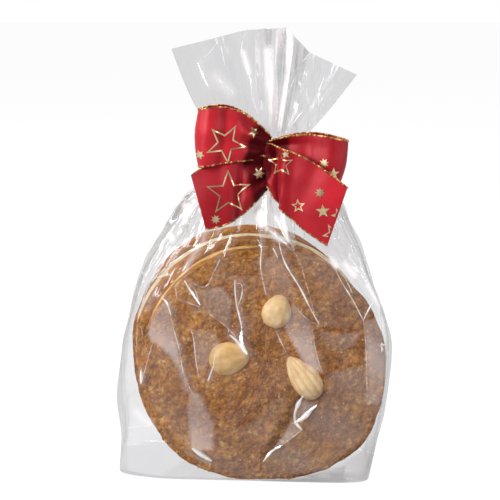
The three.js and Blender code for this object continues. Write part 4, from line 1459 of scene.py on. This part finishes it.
# %% Ribbon finish
def ribbon_finish():
    material, add = new_material("red_taffeta")
    uv = add("TexCoord").outputs["UV"]
    warp = add("TexWave", {"Vector": uv, "Scale": 30, "Distortion": 0.2}, bands_direction="X")
    weft = add("TexWave", {"Vector": uv, "Scale": 24, "Distortion": 0.2}, bands_direction="Y")
    weave = add("Math", {0: warp.outputs["Fac"], 1: weft.outputs["Fac"]}, operation="MULTIPLY")
    where = add("TexCoord").outputs["Object"]
    cloudy = add("TexNoise", {"Vector": where, "Scale": 70, "Detail": 2})
    reds = ramp(add, cloudy.outputs["Fac"], (0.3, (0.345, 0.006, 0.013)), (0.7, (0.525, 0.013, 0.024)))
    # The pinch attribute is painted shade: it mixes the red towards near black and takes away sheen and
    # gloss, at the knot, in the valleys of folds, on the knot wrap, the neck band and on whole lengths that
    # lie in shade.
    pinch = add("Attribute", attribute_name="pinch").outputs["Fac"]
    red = mix(add, pinch, reds, (0.045, 0.002, 0.004, 1))
    bump = add("Bump", {"Height": weave.outputs[0], "Strength": 0.25, "Distance": 0.0003})
    sheen = add("MapRange", {"Value": pinch, "To Min": 0.08, "To Max": 0.0})
    gloss = add("MapRange", {"Value": pinch, "To Min": 0.72, "To Max": 0.05})
    shader = add("BsdfPrincipled", {
        "Base Color": red, "Roughness": 0.36, "Normal": bump.outputs["Normal"],
        "Sheen Weight": sheen.outputs["Result"], "Sheen Roughness": 0.3, "Sheen Tint": (1, 0.5, 0.55, 1),
        "Specular IOR Level": gloss.outputs["Result"], "Specular Tint": (1, 0.4, 0.42, 1),
    })
    finish_material(add, shader.outputs[0])
    return material


finish(ribbon, ribbon_finish())
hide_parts("ribbon_bow")

# %% [markdown]
# ## Gold edges
#
# A gold thread is sewn over both long edges of the ribbon and shows as a row of tiny beads. One small bead
# is copied along each edge at an even spacing, measured along the edge itself.

# %% Gold edges
BEAD_PITCH = 0.75
BEAD_RADIUS = 0.46
EDGE_LINES = (0.012, 0.988)
DARK_THREAD, BRIGHT_THREAD = np.array([0.16, 0.045, 0.014]), np.array([0.82, 0.51, 0.20])


def even_points(path, pitch):
    """Points at an even spacing along a path of points."""
    steps = np.r_[0, np.cumsum(np.linalg.norm(np.diff(path, axis=0), axis=1))]
    at = np.arange(pitch / 2, steps[-1], pitch)
    return np.stack([np.interp(at, steps, path[:, k]) for k in range(3)], -1)


fine_u = np.linspace(0.0, 1.0, 800)
beads = []
for place in lengths.values():
    for edge in EDGE_LINES:
        beads.append(even_points(place(fine_u, np.full_like(fine_u, edge)), BEAD_PITCH))
beads = np.concatenate(beads) * MM
bead_sizes = rng.uniform(0.85, 1.1, len(beads)) * BEAD_RADIUS * MM
gold_tones = blend(DARK_THREAD, BRIGHT_THREAD, rng.uniform(0, 1, (len(beads), 1)) ** 2)
gold_edge = scattered("gold_edge", lump("bead", 2, (1.15, 0.8, 0.8)), beads, random_turns(len(beads)),
                      bead_sizes, gold_tones)


def gold_finish():
    material, add = new_material("gold_foil")
    where = add("TexCoord").outputs["Object"]
    worn = add("TexNoise", {"Vector": where, "Scale": 500, "Detail": 2})
    tones = ramp(add, worn.outputs["Fac"], (0.3, (0.80, 0.58, 0.30)), (0.7, (0.98, 0.84, 0.55)))
    shader = add("BsdfPrincipled", {"Base Color": tones, "Metallic": 1.0, "Roughness": 0.32})
    finish_material(add, shader.outputs[0])
    return material


finish(gold_edge, tinted_finish("gold_thread", {"Metallic": 0.85, "Roughness": 0.35}))

# %% [markdown]
# ## Gold stars
#
# Stars are printed on the ribbon in gold foil, large ones as outlines and small ones filled. Each starts as
# a flat circle whose every other point is pulled in, is cut finely, and is then laid onto the ribbon just
# above its surface, so that it bends with it.

# %% Gold stars
# Each star has its length of ribbon, its place across and up, its radius, its points, its turn in degrees,
# and the width of its outline, or 0 where it is filled.
STARS = [
    ("left_loop", -12.7, 141.0, 8.5, 5, 42, 0.55),
    ("left_loop", -23.0, 136.6, 2.0, 6, 20, 0),
    ("left_loop", -1.4, 145.0, 2.2, 5, 30, 0),
    ("left_tail", -11.6, 121.0, 9.4, 5, 1, 0.5),
    ("left_tail", 0.7, 128.2, 2.4, 6, 95, 0),
    ("left_tail", -16.8, 110.6, 2.0, 8, 10, 0),
    ("right_loop", 26.9, 133.3, 2.0, 8, 15, 0),
    ("right_loop", 30.6, 129.1, 2.5, 5, 70, 0),
    ("right_tail", 9.5, 132.8, 5.3, 5, 4, 0.42),
    ("right_tail", 11.4, 137.0, 1.8, 5, 10, 0),
    ("right_tail", 16.5, 116.4, 2.9, 5, 6, 0.35),
    ("right_tail", 25.1, 122.1, 2.0, 8, 0, 0),
    ("right_tail", 26.3, 114.8, 2.9, 5, 4, 0),
    ("right_tail", 32.6, 113.2, 3.2, 5, 20, 0),
    ("right_tail", 30.6, 105.6, 4.6, 5, 30, 0.45),
]
STAR_LIFT, FOIL_THICK = 0.22, 0.08
STAR_CUTS = 5
WALK_STEPS, WALK_PACE, LEAST_AREA = 12, 0.7, 5
STAR_ENDS, STAR_SIDES = (0.01, 0.985), (0.03, 0.97)
STAR_WAIST, MANY_POINT_WAIST = 0.42, 0.5


def where_on(place, x, z, front_half):
    """The place on a length of ribbon, as u and v, that shows at a point of the picture plane."""
    u, v = np.meshgrid(np.linspace(0.01, 0.5 if front_half else 1, 240), np.linspace(0, 1, 80))
    points = place(u, v)
    best = np.argmin((points[..., 0] - x) ** 2 + (points[..., 2] - z) ** 2)
    return u.flat[best], v.flat[best]


def laid_under(place, target, u, v):
    """Walks from a start to the u and v that show at target points of the picture plane."""
    step = 2e-3
    for _ in range(WALK_STEPS):
        here = place(u, v)[:, [0, 2]]
        along = (place(u + step, v)[:, [0, 2]] - here) / step
        across = (place(u, v + step)[:, [0, 2]] - here) / step
        miss = target - here
        area = along[:, 0] * across[:, 1] - along[:, 1] * across[:, 0]
        area = np.where(np.abs(area) < LEAST_AREA, np.where(area < 0, -LEAST_AREA, LEAST_AREA), area)
        u = u + WALK_PACE * (miss[:, 0] * across[:, 1] - miss[:, 1] * across[:, 0]) / area
        v = v + WALK_PACE * (along[:, 0] * miss[:, 1] - along[:, 1] * miss[:, 0]) / area
        u, v = np.clip(u, -0.1, 1.1), np.clip(v, -0.2, 1.2)
    return u, v


def star(name, x, z, radius, points, turn, hole):
    place = lengths[name]
    outward = 1 if name.startswith("left") else -1
    u0, v0 = where_on(place, x, z, "loop" in name)
    piece = added(bpy.ops.mesh.primitive_circle_add, vertices=2 * points, radius=radius, fill_type="NGON")
    inner = STAR_WAIST if points == 5 else MANY_POINT_WAIST
    for i, vertex in enumerate(piece.data.vertices):
        vertex.co *= inner if i % 2 else 1
    with edit_mode():
        if hole:
            bpy.ops.mesh.inset(thickness=hole, use_even_offset=True)
            bpy.ops.mesh.delete(type="FACE")
            bpy.ops.mesh.select_all(action="SELECT")
        else:
            bpy.ops.mesh.poke()
        bpy.ops.mesh.subdivide(number_cuts=STAR_CUTS)
        bpy.ops.mesh.quads_convert_to_tris()
    flat = np.array([v.co for v in piece.data.vertices])
    angle = math.radians(turn)
    a = flat[:, 0] * math.cos(angle) - flat[:, 1] * math.sin(angle)
    b = flat[:, 0] * math.sin(angle) + flat[:, 1] * math.cos(angle)
    target = np.stack([x + a, z + b], -1)
    u, v = laid_under(place, target, np.full(len(flat), u0), np.full(len(flat), v0))
    cut_off = (u < STAR_ENDS[0]) | (u > STAR_ENDS[1]) | (v < STAR_SIDES[0]) | (v > STAR_SIDES[1])
    u, v = np.clip(u, 0, 1), np.clip(v, 0, 1)
    laid = place(u, v) + outward * normals_of(place, u, v) * STAR_LIFT
    piece.data.vertices.foreach_set("co", (laid * MM).ravel())
    piece.data.polygons.foreach_set("select", np.zeros(len(piece.data.polygons), bool))
    piece.data.edges.foreach_set("select", np.zeros(len(piece.data.edges), bool))
    piece.data.vertices.foreach_set("select", cut_off)
    bpy.ops.object.mode_set(mode="EDIT")
    bpy.ops.mesh.delete(type="VERT")
    bpy.ops.object.mode_set(mode="OBJECT")
    return piece


stars = join("gold_stars", [star(*row) for row in STARS])
foil = stars.modifiers.new("foil", "SOLIDIFY")
foil.thickness = FOIL_THICK * MM
foil.offset = 0
apply_modifiers(stars)
finish(stars, gold_finish())
